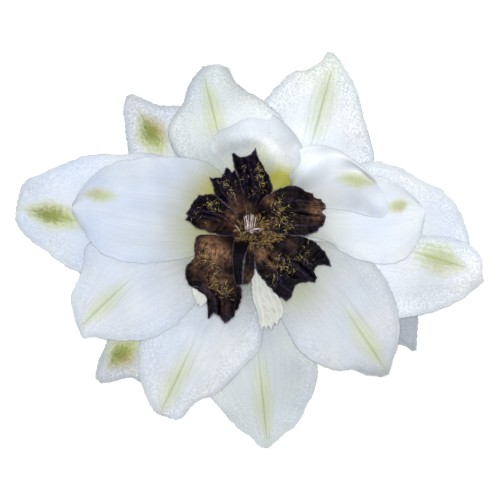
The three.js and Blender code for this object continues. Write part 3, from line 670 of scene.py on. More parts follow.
@dataclass(frozen=True)
class Blade:
    """A thin closed blade between two margins, from a narrow base to its tip.

    left and right are the margins' points from base to tip, looking outward, and tip lists the end's
    points from left to right. rise gives the midrib's height above its base at even steps. s runs from
    the base, 0, to the tip, 1, and t from the left margin, -1, to the right one, 1. serration is how
    far the margin wanders, and each wander has its powers towards the sides and the tip, which keep it
    to the margin, and its waves: length in mm, share and salt of the seed.
    """

    name: str
    bearing: float
    base: float
    left: Points
    right: Points
    tip: Points
    rise: Numbers
    midrib: Points = ()
    base_half_width: float = 1.2
    seat: float = 0.3
    thickness: float = 0.3
    rim_thickness: float = 0.12
    rows: int = 96
    columns: int = 56
    serration: float = 0.08
    wanders: Wanders = ()

    def end_line(self, t: Array) -> Array:
        """The tip's line at places from left to right."""
        place, corners = (t + 1) / 2 * (len(self.tip) - 1), range(len(self.tip))
        return np.stack([np.interp(place, corners, axis) for axis in np.array(self.tip).T], axis=1)

    def plan(self, s: Array, t: Array) -> tuple[Array, Array]:
        """Lays the blade's grid out flat.

        Args:
            s: places along it.
            t: places across it.

        Returns:
            The grid's x and y, and each place's distance from the nearest margin, in mm.
        """
        start = polar(receptacle_radius(self.base) + self.seat, self.bearing)
        across_base = polar(self.base_half_width, self.bearing - 90)
        left = smooth_curve([start - across_base, *self.left, self.tip[0]], s)
        right = smooth_curve([start + across_base, *self.right, self.tip[-1]], s)
        tip = np.array(self.tip)
        middle = (tip[0] + tip[-1]) / 2
        rib = smooth_curve([start, *self.midrib, middle], s) if self.midrib else (left + right) / 2
        away = np.abs(t)[None, :, None]
        margin = np.where((t < 0)[None, :, None], left[:, None], right[:, None])
        grid = rib[:, None] + away * (margin - rib[:, None])
        corner = np.where((t < 0)[:, None], tip[0], tip[-1])
        chord = middle + np.abs(t)[:, None] * (corner - middle)
        grid = grid + (self.end_line(t) - chord)[None] * (s**TIP_PULL)[:, None, None]
        breadth = np.linalg.norm(margin - rib[:, None], axis=2)
        length = np.linalg.norm(np.diff(rib, axis=0), axis=1).sum()
        edge = np.minimum((1 - np.abs(t))[None, :] * breadth, (1 - s)[:, None] * length)
        return grid, edge

    def seed(self, salt: int) -> int:
        """A number that is this blade's own."""
        return int(self.bearing) + salt

    def relief(self, s: Array, t: Array, grid: Array) -> Array:
        """The height that a kind of blade adds to its midrib's; each has its own."""
        raise NotImplementedError

    def ragged(self, s: Array, t: Array, grid: Array) -> Array:
        """Cuts irregular teeth into the margin, and slower wanders.

        Args:
            s: places along the blade.
            t: places across it.
            grid: its plan.

        Returns:
            The plan with its outermost places moved.
        """
        x, y = grid[..., 0], grid[..., 1]
        shift = np.zeros(s.shape)
        for sideways, tipward, waves in self.wanders:
            field = sum(share * drift(x, y, length, self.seed(salt)) for length, share, salt in waves)
            shift += field * (np.maximum(np.abs(t) ** sideways, s**tipward) * ramp(s, *RAGGED_START))
        away = grid - grid.mean(axis=(0, 1))
        away /= np.maximum(np.linalg.norm(away, axis=2, keepdims=True), 1e-6)
        return grid + away * (self.serration * shift)[..., None]

    def steps(self) -> tuple[Array, Array]:
        """Places the rows and columns, closer together at the tip and the margins.

        Returns:
            The places along and across.
        """
        u = np.linspace(0, 1, self.rows + 1)
        v = np.linspace(-1, 1, self.columns + 1)
        across = (1 - MARGIN_CROWDING) * v + MARGIN_CROWDING * np.sin(v * math.pi / 2)
        return 1 - (1 - u) ** TIP_CROWDING, across

    def middle_surface(self) -> tuple[Array, Array, Array, Array]:
        """Works out the blade's middle surface.

        Returns:
            Its grid of points, the distance from the margin, and s and t, each as a grid.
        """
        s, t = self.steps()
        grid, edge = self.plan(s, t)
        wide_s, wide_t = np.meshgrid(s, t, indexing="ij")
        grid = self.ragged(wide_s, wide_t, grid)
        midrib = self.base + even_heights((0.0, *self.rise), s)[:, None]
        height = midrib + self.relief(wide_s, wide_t, grid)
        return np.dstack([grid, height]), edge, wide_s, wide_t

    def vertex_looks(self, points: Array, s: Array, t: Array, edge: Array) -> Attributes:
        """What the finish reads at each vertex; a kind of blade adds its own."""
        place = np.stack([s, t, np.linalg.norm(points[:, :2], axis=1)], axis=1)
        return {"place": place, "edge": edge}

    def build(self) -> Piece:
        """Builds the closed blade, thinner at its rim.

        Returns:
            The object.
        """
        middle, edge, s, t = self.middle_surface()
        normal = np.cross(np.gradient(middle, axis=1), np.gradient(middle, axis=0))
        normal /= np.linalg.norm(normal, axis=2, keepdims=True)
        half = (self.rim_thickness + (self.thickness - self.rim_thickness) * ramp(edge, 0, RIM_WIDTH)) / 2
        upper = (middle + normal * half[..., None]).reshape(-1, 3)
        lower = (middle - normal * half[..., None]).reshape(-1, 3)
        points = np.vstack([upper, lower])
        points[:, 2] = np.maximum(points[:, 2], LOWEST)
        faces, rim = sheet_faces(*s.shape)
        piece = new_piece(f"{self.name}_blade", points, faces, rim)
        doubled = [np.tile(values.ravel(), 2) for values in (s, t, edge)]
        write_attributes(piece, self.vertex_looks(points, *doubled))
        write_uv(piece.data, *doubled[:2])
        return piece


def sheet_faces(rows: int, columns: int) -> tuple[list, set[int]]:
    """Closes an upper and a lower grid of points into one skin.

    Args:
        rows: points from the base to the tip.
        columns: points from margin to margin.

    Returns:
        The faces, and which of them make the rim.
    """
    index = np.arange(rows * columns).reshape(rows, columns)
    a, b, c, d = index[:-1, :-1], index[:-1, 1:], index[1:, 1:], index[1:, :-1]
    shift = rows * columns
    upper = np.stack([a, b, c, d], axis=2).reshape(-1, 4)
    lower = np.stack([a, d, c, b], axis=2).reshape(-1, 4) + shift
    border = np.concatenate([index[0, :-1], index[:-1, -1], index[-1, :0:-1], index[:0:-1, 0]])
    ahead = np.roll(border, -1)
    rim = np.stack([border, border + shift, ahead + shift, ahead], axis=1)
    faces = np.vstack([upper, lower, rim]).tolist()
    return faces, set(range(len(faces) - len(rim), len(faces)))


def write_uv(mesh: bpy.types.Mesh, s: Array, t: Array) -> None:
    """Gives a blade a UV map, across it and along it.

    Args:
        mesh: the blade's mesh.
        s: each vertex's place along.
        t: each vertex's place across.
    """
    layer = mesh.uv_layers.new(name="blade")
    corners = np.empty(len(mesh.loops), int)
    mesh.loops.foreach_get("vertex_index", corners)
    uv = np.stack([(t[corners] + 1) / 2, s[corners]], axis=1)
    layer.data.foreach_set("uv", uv.astype(np.float32).ravel())


@dataclass(frozen=True)
class Sepal(Blade):
    """A white sepal: gently waved, with a ragged margin and a mark near its tip.

    cup lifts both margins, lift raises the left and the right one alone into a rounded crest, whose
    place across goes from the first to the second number of crest, and tip_roll turns the tip down.
    crisp is how grainy it is, throat how green its base, tone how bright it is, its own tissue together
    with painted shade where it lies low, and lines how much its veins show. depth is how much painted
    shade darkens its base near the eye, and its patches of shading are painted shade where positive and
    painted light where negative.
    """

    cup: float = 0.3
    ripple: float = 0.2
    lift: Point = (0.0, 0.0)
    crest: Point = (0.78, 0.78)
    crest_drop: float = 1.2
    tip_roll: float = 0.0
    swell: float = 0.16
    wanders: Wanders = ((14, 26, ((0.9, 1.0, 1), (0.5, 0.7, 2))), (5, 9, ((3.4, 1.2, 3),)))
    mark: Mark = Mark()
    crisp: float = 1.0
    throat: float = 0.5
    throat_reach: float = 9.0
    # tone: the sepal's own brightness together with painted shade where it lies low.
    tone: float = 1.0
    # depth: how much painted shade darkens the base near the eye.
    depth: float = 0.3
    sap: float = 0.0
    lines: float = 0.3
    # Patches of painted shade where positive and of painted light where negative.
    painted_shading: Patches = ()
    greens: Patches = ()

    def seed(self, salt: int) -> int:
        """A number that is this sepal's own."""
        return int(self.bearing * 10) * 31 + salt

    def relief(self, s: Array, t: Array, grid: Array) -> Array:
        """Adds the cup, the margins' ripple, crests, a keel line and gentle waves.

        Args:
            s: places along the blade.
            t: places across it.
            grid: its plan.

        Returns:
            What it adds, in mm.
        """
        x, y = grid[..., 0], grid[..., 1]
        away = np.abs(t)
        growth = np.sin(math.pi / 2 * s)
        wave = np.sin(RIPPLE_TURNS * s + self.bearing + t)
        height = growth * away**2 * (self.cup + self.ripple * wave)
        lift = np.where(t < 0, self.lift[0], self.lift[1])
        near, far = self.crest
        crest = near + (far - near) * ramp(s, *CREST_SHIFT)
        fold = ramp(away, crest - CREST_RISE, crest)
        fold -= self.crest_drop * ramp(away, crest, crest + CREST_FALL)
        height += growth * lift * fold
        height -= self.tip_roll * ramp(s, *TIP_ROLL)
        height += growth * self.swell * drift(x, y, SWELL_LENGTH, self.seed(4))
        height += growth * FRILL_HEIGHT * away**3 * drift(x, y, FRILL_LENGTH, self.seed(5))
        height -= KEEL_DEPTH * np.exp(-((t / KEEL_WIDTH) ** 2)) * np.sin(math.pi * s) ** 0.5
        along, across = self.mark.coordinates(grid.reshape(-1, 2))
        pad = np.exp(-PAD_FALL * (along**2 + across**2)).reshape(s.shape)
        return height + PAD_HEIGHT * self.mark.kind.value[0] * pad

    def vertex_looks(self, points: Array, s: Array, t: Array, edge: Array) -> Attributes:
        """Adds the mark, the throat, the tone and the grain.

        Args:
            points: the vertices.
            s: places along the blade.
            t: places across it.
            edge: distances from the margin.

        Returns:
            What the finish reads.
        """
        looks = super().vertex_looks(points, s, t, edge)
        every = np.ones(len(s))
        along, across = self.mark.coordinates(points)
        wash, veins, brown = self.mark.kind.value
        side = ramp(self.mark.brown_side * across + 0.35 * along, -0.1, 0.8)
        looks["mark"] = np.stack([along, across, self.crisp * every], axis=1)
        looks["look"] = np.stack([wash * every, veins * every, brown * side], axis=1)
        x, y, _ = points.T
        distance = np.linalg.norm(points[:, :2], axis=1)
        near = np.exp(-((np.maximum(distance - THROAT_START, 0) / self.throat_reach) ** 2) * 3)
        looks["throat"] = np.clip(self.throat * near + patches_at(x, y, self.greens), 0, 1)
        # Painted shade in hollows and under other blades, and, where negative, painted light on crests and
        # slopes.
        dark = patches_at(x, y, self.painted_shading)
        slow = SHADE_DEPTH * drift(x, y, SHADE_LENGTH, self.seed(6))
        # Painted shade round the eye, where the blades around it would hide the light.
        deep = np.exp(-((np.maximum(distance - PAINTED_SHADE_START, 0) / PAINTED_SHADE_REACH) ** 2))
        level = self.tone * (1 + slow) * (1 - dark) * (1 - self.depth * deep)
        # A painted highlight along a smooth sepal's rim.
        painted_rim_light = PAINTED_RIM_LIGHT * (1 - min(self.crisp, 1.0))
        level = level * (1 + painted_rim_light * np.exp(-((edge / PAINTED_RIM_LIGHT_WIDTH) ** 2)))
        looks["tone"] = np.stack([level, self.sap + 2 * slow, self.lines * every], axis=1)
        return looks


@dataclass(frozen=True)
class Hood(Sepal):
    """The sepal that stands up over the eye: a hollow wall up to a rounded crest, then turned back.

    crest_share, crest_height and turned_back are read at even steps from left to right: where across
    its length the crest lies, how high it is, and how far the margin beyond it hangs down, in mm.
    """

    crest_share: Numbers = (1.0, 1.0)
    crest_height: Numbers = (1.0, 1.0)
    turned_back: Numbers = (0.0, 0.0)

    def end_line(self, t: Array) -> Array:
        """The tip's line, rounded."""
        return smooth_curve(np.array(self.tip), (t + 1) / 2)

    def relief(self, s: Array, t: Array, grid: Array) -> Array:
        """The wall's height, steepest under its crest.

        Args:
            s: places along the blade.
            t: places across it.
            grid: its plan.

        Returns:
            What it adds, in mm.
        """
        walk = np.linspace(0, 1, 200)
        slope = walk**HOOD_STEEPNESS * (1 - ramp(walk, HOOD_SHOULDER, 1.0))
        wall = np.cumsum(slope) / slope.sum()
        crest = even_heights(self.crest_share, (t + 1) / 2)
        height = even_heights(self.crest_height, (t + 1) / 2) * np.interp(s / crest, walk, wall)
        beyond = np.clip((s - crest) / (1 - crest), 0, 1)
        fall = np.where(t < 0.3, ramp(beyond, 0, 1.05), beyond**1.8)
        height -= even_heights(self.turned_back, (t + 1) / 2) * fall
        waves = drift(grid[..., 0], grid[..., 1], HOOD_WAVE_LENGTH, self.seed(4))
        return height + HOOD_WAVE_HEIGHT * ramp(s, 0.3, 0.7) * waves


@dataclass(frozen=True)
class Slit:
    """A narrow dark fold pressed into a petal: its place across, and where along it starts and ends."""

    across: float
    start: float
    end: float
    width: float = 0.07
    depth: float = 0.7


@dataclass(frozen=True)
class Petal(Blade):
    """A petal of the eye: folded lengthwise, crumpled, with sharp ridges, slits and a toothed tip.

    pleats is the number of folds across it, fold how far they stand up and down at the tip, ridges
    lists the places across of its sharp ridges, and brown, tan and hairs where it has each of them.
    """

    base_half_width: float = 1.25
    seat: float = -0.5
    thickness: float = 0.26
    rim_thickness: float = 0.1
    rows: int = 88
    columns: int = 70
    pleats: float = 2
    fold: float = 0.35
    ridges: Numbers = ()
    slits: tuple[Slit, ...] = ()
    crumple: float = 0.28
    serration: float = 0.1
    wanders: Wanders = ((8, 16, ((1.3, 1.0, 0), (0.7, 0.6, 1))),)
    # violet: how strong the painted highlight along the ridges and slit lips is.
    violet: float = 0.45
    brown: Patches = ()
    tan: Patches = ()
    hairs: Patches = ()

    def steps(self) -> tuple[Array, Array]:
        """Places the rows and columns, with a column on each point of the toothed tip.

        Returns:
            The places along and across.
        """
        stretches = len(self.tip) - 1
        columns = stretches * max(1, round(self.columns / stretches))
        u = np.linspace(0, 1, self.rows + 1)
        return 1 - (1 - u) ** 1.15, np.linspace(-1, 1, columns + 1)

    def ridge_lines(self, s: Array, t: Array, width: float) -> Array:
        """How near places are to a ridge.

        Args:
            s: places along the blade.
            t: places across it.
            width: where the ridge has faded, as a share of the blade's half width.

        Returns:
            1 on its line, down to 0.
        """
        near = np.zeros(np.broadcast(s, t).shape)
        for index, place in enumerate(self.ridges):
            line = place + RIDGE_SWAY * np.sin(5 * s + 2.3 * index + self.bearing)
            near = np.maximum(near, np.exp(-np.abs(t - line) / width))
        return near * ramp(s, *RIDGE_START)

    def slit_lines(self, s: Array, t: Array, spread: float = 1.0) -> Array:
        """How deep in a slit places are.

        Args:
            s: places along the blade.
            t: places across it.
            spread: widens it, to take in its lips.

        Returns:
            The slit's own depth at its bottom, down to 0.
        """
        deep = np.zeros(np.broadcast(s, t).shape)
        for slit in self.slits:
            line = slit.across + SLIT_SWAY * np.sin(7 * s + self.bearing)
            along = ramp(s, slit.start, slit.start + 0.12) * ramp(-s, -slit.end - 0.02, -slit.end + 0.1)
            across = np.exp(-(((t - line) / slit.width / spread) ** 2))
            deep = np.maximum(deep, along * slit.depth * across)
        return deep

    def bulges(self, s: Array, x: Array, y: Array) -> Array:
        """The crumpled relief.

        Args:
            s: places along the blade.
            x: first coordinate in mm.
            y: second coordinate in mm.

        Returns:
            Its height in mm.
        """
        seed = int(self.bearing * 10)
        waves = drift(x, y, FOLD_LENGTH, seed) + CREASE_SHARE * drift(x, y, CREASE_LENGTH, seed + 1)
        return self.crumple * ramp(s, 0.1, 0.45) * waves

    def relief(self, s: Array, t: Array, grid: Array) -> Array:
        """Adds the folds, the crumple, the ridges and the slits.

        Args:
            s: places along the blade.
            t: places across it.
            grid: its plan.

        Returns:
            What it adds, in mm.
        """
        swing = np.cos(math.pi * self.pleats * (t + 1) + 0.35 * np.sin(3 * s + self.bearing))
        height = self.fold * ramp(s, 0.1, 0.8) * swing
        height += self.bulges(s, grid[..., 0], grid[..., 1])
        height += RIDGE_HEIGHT * self.ridge_lines(s, t, RIDGE_WIDTH)
        lips = LIP_HEIGHT * self.slit_lines(s, t, LIP_SPREAD)
        return height + lips - SLIT_DEPTH * self.slit_lines(s, t)

    def vertex_looks(self, points: Array, s: Array, t: Array, edge: Array) -> Attributes:
        """Adds the brown and the thin tan places, painted lighter on bulges, the violet painted highlight
        on ridges and slit lips, and where hairs grow.

        Args:
            points: the vertices.
            s: places along the blade.
            t: places across it.
            edge: distances from the margin.

        Returns:
            What the finish and the hairs read.
        """
        looks = super().vertex_looks(points, s, t, edge)
        x, y, _ = points.T
        painted_bulge_light = self.bulges(s, x, y) / self.crumple
        open_skin = 1 - np.clip(1.6 * self.slit_lines(s, t), 0, 1)
        brown, tan, hairs = (patches_at(x, y, patches) for patches in (self.brown, self.tan, self.hairs))
        # Painted light: brown and tan are lighter where the crumple bulges and leave its hollows dark.
        brown *= np.clip(0.75 + 0.6 * painted_bulge_light, 0, 1.5) * ramp(edge, 0.05, 0.9)
        tan *= np.clip(0.85 + 0.4 * painted_bulge_light, 0, 1.5)
        # Painted highlight in violet along the ridges and the lips of the slits.
        lips = 0.5 * np.clip(self.slit_lines(s, t, 2.4) - 1.2 * self.slit_lines(s, t, 1.3), 0, 1)
        violet = self.violet * (self.ridge_lines(s, t, RIDGE_LINE) + lips)
        looks["hue"] = np.clip(np.stack([brown * open_skin, tan * open_skin, violet], axis=1), 0, 1)
        upper = np.arange(len(s)) < len(s) // 2
        tufts = np.clip(0.6 + 1.1 * drift(x, y, 0.8, self.seed(2)), 0, 2.4)
        looks["hair"] = np.where(upper, np.clip(hairs * tufts, 0, 2), 0)
        return looks


# The heights in mm at which sepals stand on the receptacle, from the lowest up.
LEVELS = [SEPAL_LOWEST_BASE + step * SEPAL_LEVEL_STEP for step in range(6)]

# Each sepal's patches of shading are painted shade where positive and painted light where negative.
SEPALS = (
    Sepal("sepal_spurred", 66, LEVELS[0],
        left=((-0.2, 7.5), (-0.4, 10.5), (0.4, 16.5), (2.2, 19.3), (4.3, 21.6), (6.5, 23.7), (8.2, 24),
            (10.7, 25.4)),
        midrib=((3.4, 6.6), (7.2, 10.8), (9.6, 14.6), (10.9, 19.5)),
        right=((6, 5), (12.2, 6), (17.6, 8.6), (18.8, 11), (18.1, 13.8), (16.9, 18.3), (16.2, 21),
            (14.3, 24.6)),
        tip=((11.8, 26.8), (12.7, 26.7)), rise=(0.5, 0.3, -3.02),
        mark=Mark(MarkKind.STRIPE, (10.95, 18.6), 74.5, 6.6, 2.6), crisp=1.15, throat=0.3, depth=0.03,
        painted_shading=((15.8, 13, 3.4, 0.08), (11.5, 24, 5, -0.14), (10.9, 18, 2.6, -0.06),
            (7.8, 13.8, 2.2, -0.22)),
        greens=((11.9, 24.4, 4.4, 0.24),)),
    Sepal("sepal_upper", 101, LEVELS[1],
        left=((-3.4, 5.8), (-7.6, 8.6), (-11, 11.6), (-12.2, 15), (-10, 18.9), (-9.2, 21.3), (-7.9, 23.4)),
        midrib=((-1.6, 6.6), (-3.1, 10.8), (-4.6, 15.2), (-5.6, 20.6)),
        right=((1.4, 6), (4.6, 9), (6.3, 12.8), (5.2, 16.2), (2.2, 19.3), (-0.6, 21), (-2.2, 22.6)),
        tip=((-6.9, 24.6), (-5, 24.9), (-3.1, 24.3)), rise=(3.2, 4.2, 0.8), cup=-2.8,
        mark=Mark(MarkKind.STRIPE, (-5.55, 18.3), 104, 5.4, 2), crisp=0.9, throat=0.3, tone=0.96,
        depth=0.15, sap=0.16,
        painted_shading=((-4.6, 10.6, 2.2, 0.14), (-2.6, 12.2, 1.8, 0.12), (-7, 11.4, 1.8, 0.06),
            (0.6, 18.2, 2.4, -0.14), (3.6, 17, 1.8, -0.18)),
        greens=((-5.8, 15.4, 2, 0.22),)),
    Sepal("sepal_upper_left", 130, LEVELS[0],
        left=((-5.6, 3.4), (-12.6, 5.4), (-16.9, 8.6), (-18, 11.5), (-18.6, 15), (-18.9, 18.4)),
        midrib=((-5.1, 5.6), (-9.6, 9.8), (-13.4, 13.8), (-16.4, 17.6)),
        right=((-3, 6), (-4.6, 10.5), (-6.9, 15.8), (-10, 18.4), (-13.9, 18.9), (-16.2, 19.9)),
        tip=((-18.4, 20.2), (-17.6, 20.6)), rise=(0.6, 0.5, -3.02),
        mark=Mark(MarkKind.BLOTCH, (-14.6, 14.4), 118, 4.2, 2.8), crisp=1.1, throat=0.25, tone=0.88),
    Sepal("sepal_left_outer", 176, LEVELS[1],
        left=((-5.6, -2.6), (-10.3, -6.6), (-17.8, -8.5), (-22.3, -7.8), (-28.3, -4.8), (-30.6, -3),
            (-33.6, -0.8)),
        midrib=((-8.4, 0.1), (-14.8, 0.3), (-22.3, 0.6), (-29.4, 2)),
        right=((-5, 3.2), (-9.6, 8.4), (-13.6, 11.2), (-19.3, 11.4), (-24.6, 11.1), (-30.4, 8.8),
            (-33.9, 6.9)),
        tip=((-35.1, 1.5), (-34.9, 3.2)), rise=(0.95, 1.7, 0.7), cup=-0.5,
        mark=Mark(MarkKind.LENS, (-29.4, 2.2), 168, 5.4, 2.4), crisp=0.6, throat=0.2, tone=0.85, sap=-0.3,
        painted_shading=((-20, 9.4, 4, -0.1), (-27, 8, 4, -0.08), (-22, -4, 5, 0.05))),
    Sepal("sepal_left_inner", 171, LEVELS[3],
        left=((-4.8, -1.6), (-8.1, -3.8), (-13.3, -4.8), (-17.1, -5), (-20.1, -4.3), (-22.3, -3.3),
            (-25.2, 0.6)),
        midrib=((-6.4, 1.4), (-11.6, 2.6), (-17.2, 3.5), (-22.4, 4.2)),
        right=((-3.2, 5.2), (-3.9, 8.2), (-5.8, 9.9), (-9.4, 10.8), (-12.9, 10.9), (-16.3, 10.8),
            (-21.9, 9.3), (-24.9, 6.3)),
        tip=((-26.6, 2.7), (-26.4, 3.9)), rise=(2.05, 2.95, 2.6), cup=-1.2, tip_roll=0.5, swell=0.3,
        mark=Mark(MarkKind.SPOT, (-22.4, 5.2), 176, 3, 1.4), crisp=0.15, throat=0.75, throat_reach=9.5,
        tone=0.86, sap=-0.55, lines=0.35, greens=((-5.8, 6, 2.4, 0.35),)),
    Sepal("sepal_lower_left_inner", 211, LEVELS[2],
        left=((-3.9, -5.4), (-7.9, -10.8), (-11.1, -14.2), (-15, -16.3), (-18.6, -16.6), (-21.6, -16.3),
            (-23.4, -15.9)),
        midrib=((-6.4, -4), (-11.6, -6.4), (-17.1, -9.2), (-21.6, -12.6)),
        right=((-6, -1.6), (-12, -0.8), (-18.4, -0.4), (-24.1, -2.1), (-25.1, -6.3), (-26.6, -10),
            (-26.1, -13.2)),
        tip=((-24.8, -16.2), (-25.2, -15.6)), rise=(1.3, 2, 1.2), cup=-0.5,
        mark=Mark(MarkKind.STRIPE, (-21.75, -11.1), 223.7, 5.5, 2), crisp=0.45, throat=0.6,
        throat_reach=10, tone=0.83, depth=0.42, sap=-0.2, painted_shading=((-8.6, -5.4, 3, 0.07),)),
    Sepal("sepal_lower_left_outer", 224, LEVELS[0],
        left=((-3.4, -6.4), (-6.6, -13.4), (-10.3, -19), (-13.3, -21.9), (-15.9, -22.8), (-17.8, -22.2),
            (-20.6, -22.8)),
        midrib=((-5.2, -5.6), (-10.3, -10.5), (-15.2, -15.4), (-19.4, -19.6)),
        right=((-5.8, -3.4), (-10.6, -5.4), (-16.3, -9), (-20.1, -13.5), (-21.3, -16.6), (-22.9, -20.7)),
        tip=((-22.3, -23.1), (-23.1, -22.2)), rise=(0.4, 0.2, -3.02),
        mark=Mark(MarkKind.BLOTCH, (-19.05, -18.5), 225, 3.7, 2.7, brown_side=-1), crisp=1.1, throat=0.25,
        tone=0.75),
    Sepal("sepal_lower_middle", 249, LEVELS[1],
        left=((0.7, -7.6), (2.1, -13.5), (1.5, -18), (-0.3, -20), (-4.6, -24.4), (-8.1, -25.9),
            (-10, -28.1)),
        midrib=((-2.6, -7.6), (-5.1, -12.4), (-8.2, -17.6), (-10.8, -23.4)),
        right=((-4.6, -4.8), (-9.4, -8.6), (-14.4, -12.8), (-16.5, -17.6), (-16.2, -22.8), (-15, -25.8),
            (-13.7, -27.6)),
        tip=((-10.9, -28.4), (-12, -28.1)), rise=(0.85, 1.3, -0.35), cup=-0.6,
        mark=Mark(MarkKind.STRIPE, (-11.1, -22.8), 244.5, 6.2, 2.2), crisp=0.75, throat=0.3, tone=0.83,
        depth=0.55, sap=-0.1, painted_shading=((-3.4, -10.6, 3.4, 0.09),)),
    Sepal("sepal_bottom", 275, LEVELS[0],
        left=((2.6, -6.8), (6.4, -12.4), (9.6, -17.6), (10.3, -20.7), (9.9, -23.8), (8.7, -26.4),
            (7.2, -29.1), (4.6, -31.3)),
        midrib=((0.6, -9), (1.2, -14.6), (1.7, -20.2), (2.2, -26.4)),
        right=((-2, -8), (-5.2, -14.6), (-7.3, -20.2), (-6.9, -23.2), (-5.2, -25.8), (-3.8, -27.4),
            (-2.1, -29.4), (0.3, -31.2)),
        tip=((2.8, -32.9), (1.8, -32.8)), rise=(0.3, 0.1, -3.02),
        mark=Mark(MarkKind.STRIPE, (2.1, -25.5), 275.8, 7.4, 2), crisp=0.6, throat=0.3, tone=0.79,
        sap=0.15, painted_shading=((6.4, -22, 3.6, 0.14), (3, -16, 3, 0.1), (2.2, -30, 3, -0.05))),
    Sepal("sepal_lower_right_inner", 315, LEVELS[3],
        left=((6.2, -1.6), (13, -2), (18.1, -4.5), (20.8, -8), (22.2, -12), (22.5, -15), (22.2, -17.6),
            (21.3, -20.1)),
        midrib=((6, -5.2), (10.6, -9.2), (14.6, -13.2), (18, -17.6)),
        right=((2.4, -6.2), (4, -11.2), (5.8, -15.2), (7.6, -18.1), (10.2, -19.9), (13.2, -21),
            (15.4, -20.8), (17.2, -21.6)),
        tip=((21, -21.6), (19.9, -21.9)), rise=(1.8, 3, 2.4), cup=-0.9, tip_roll=1.3,
        mark=Mark(MarkKind.STRIPE, (17.55, -16.5), 303.9, 6.2, 2.2), crisp=0.45, tone=0.77,
        painted_shading=((16.8, -21.2, 1, 0.2), (18.6, -21.5, 1, 0.25), (20.3, -21.4, 1, 0.25), (8, -9, 3.5, 0.06)),
        greens=((6.6, -8.6, 4.2, 0.3),)),
    Sepal("sepal_right_middle", 349, LEVELS[2],
        left=((7.4, 0.6), (14.6, 0.6), (22.6, -0.4), (26.1, -0.9), (28.9, -0.9), (31.3, -1.5), (33.3, -2.4),
            (34.8, -4)),
        midrib=((8.6, -1.8), (16.6, -3.2), (23.8, -4.2), (30.4, -5.6)),
        right=((6, -4), (13.4, -9.4), (21.1, -13.2), (25.2, -12.8), (27.4, -12.2), (30.1, -11.2),
            (32.5, -9.8)),
        tip=((34.8, -6.3), (35.2, -7.6)), rise=(1.4, 2.3, 1.4), cup=-0.3,
        mark=Mark(MarkKind.FEATHER, (28.5, -4.4), 343, 4.7, 2.9), crisp=0.9, throat=0.25,
        painted_shading=((34.2, -8.4, 2, 0.16), (25.4, -8.6, 4.2, 0.15), (29, -8.9, 3, 0.12))),
    Sepal("sepal_lower_right_outer", 325, LEVELS[0],
        left=((6.4, -2.8), (12, -5), (18.1, -7.4), (23.4, -9.8), (25.3, -12.9), (25.3, -15.8)),
        midrib=((6.6, -5.6), (12.6, -9.8), (18.4, -13.6), (22.8, -16.4)),
        right=((4.6, -5.4), (9.6, -11.2), (15.6, -16.2), (20.4, -18), (22.3, -17.2), (23.7, -17.6)),
        tip=((25.2, -18), (24.6, -18.3)), rise=(0.3, 0.2, -3.02), cup=0.2, crisp=0.6, throat=0.2,
        tone=0.57),
    Sepal("sepal_right_outer", 355, LEVELS[1],
        left=((6, 2.8), (11.6, 8), (18.4, 10.3), (21.9, 9.6), (26.4, 7.2), (28.9, 6), (31.3, 3.3),
            (32.6, 0.4)),
        midrib=((8.6, 0.6), (16.6, 0.8), (24.1, 0), (29.8, -1.8)),
        right=((6.2, -2.2), (13.4, -6.4), (20.6, -8.8), (26.4, -9), (31, -7)),
        tip=((33.3, -3.3), (33, -4.8)), rise=(0.95, 1.5, 0.6), cup=-0.2, crisp=0.7, throat=0.2, tone=0.93),
    Sepal("sepal_right_inner", 8, LEVELS[4],
        left=((5.8, 3.2), (9.6, 6.6), (14.4, 7.8), (18.9, 8.1), (21.9, 6.9), (24.1, 5.4)),
        midrib=((7.6, 1.8), (12.4, 2.4), (17.2, 2.8), (22, 2.6)),
        right=((6.4, -0.8), (11.4, -1.5), (14.1, -3.4), (17.7, -4.8), (20.7, -5.1), (23.4, -4.3),
            (25.3, -1.6)),
        tip=((25.5, 4), (26.4, 3), (26.1, 0.8)), rise=(2, 2.7, 2.2), cup=-1,
        mark=Mark(MarkKind.SPOT, (22.3, 3.6), 15, 2.1, 1.3), crisp=0.2, throat=0.3, tone=0.96, depth=0.39,
        lines=0.25),
    Sepal("sepal_right_curled", 30, LEVELS[5],
        left=((4.9, 3.6), (6.4, 6.2), (6, 8.4), (6.4, 10.6), (8, 12.3), (10.8, 12.6), (13.4, 11.8),
            (15.6, 10.4)),
        midrib=((6.6, 4.9), (10, 6.4), (13.4, 7.4), (16.8, 7.6)),
        right=((7.4, 3.4), (11.8, 3.2), (15.1, 2.8), (18, 2)),
        tip=((17.5, 8.9), (18.9, 7.3), (20, 5.6), (20.7, 4.1), (20.8, 2.8), (20, 1.8)),
        rise=(2.2, 3.1, 3.1), cup=0, lift=(2, -0.2), crest=(0.5, 0.9), crest_drop=0.6, ripple=0.05,
        tip_roll=0.4, serration=0.02, mark=Mark(MarkKind.SPOT, (16, 7.4), 352, 3.4, 1.5, brown_side=0.4),
        crisp=0.05, tone=0.8, depth=0.2, sap=-0.25, lines=0.08,
        painted_shading=((12.9, 4.3, 1.7, 0.1), (16, 3.9, 1.8, 0.12), (18.4, 2.6, 1, 0.08), (9, 8.4, 2.2, -0.06),
            (9.5, 10.9, 1.8, -0.44), (13, 10.3, 1.9, -0.4), (16.6, 9, 1.4, -0.25), (19.8, 4.6, 1.2, -0.18),
            (7.4, 9.8, 1.6, -0.42))),
    Hood("sepal_hood", 85, LEVELS[2],
        left=((-2.9, 6), (-5.4, 8.6), (-7.6, 10.6)), midrib=((0, 5.6), (0, 8), (-0.4, 10)),
        right=((2.6, 4.9), (5.2, 6.2), (6.9, 7.4), (7.9, 9.2)),
        tip=((-10, 12.4), (-8.2, 14.4), (-5.4, 16.4), (-2, 18), (1.2, 18.4), (4, 17), (6.4, 14.8),
            (7.8, 12.6), (7.9, 10.9)),
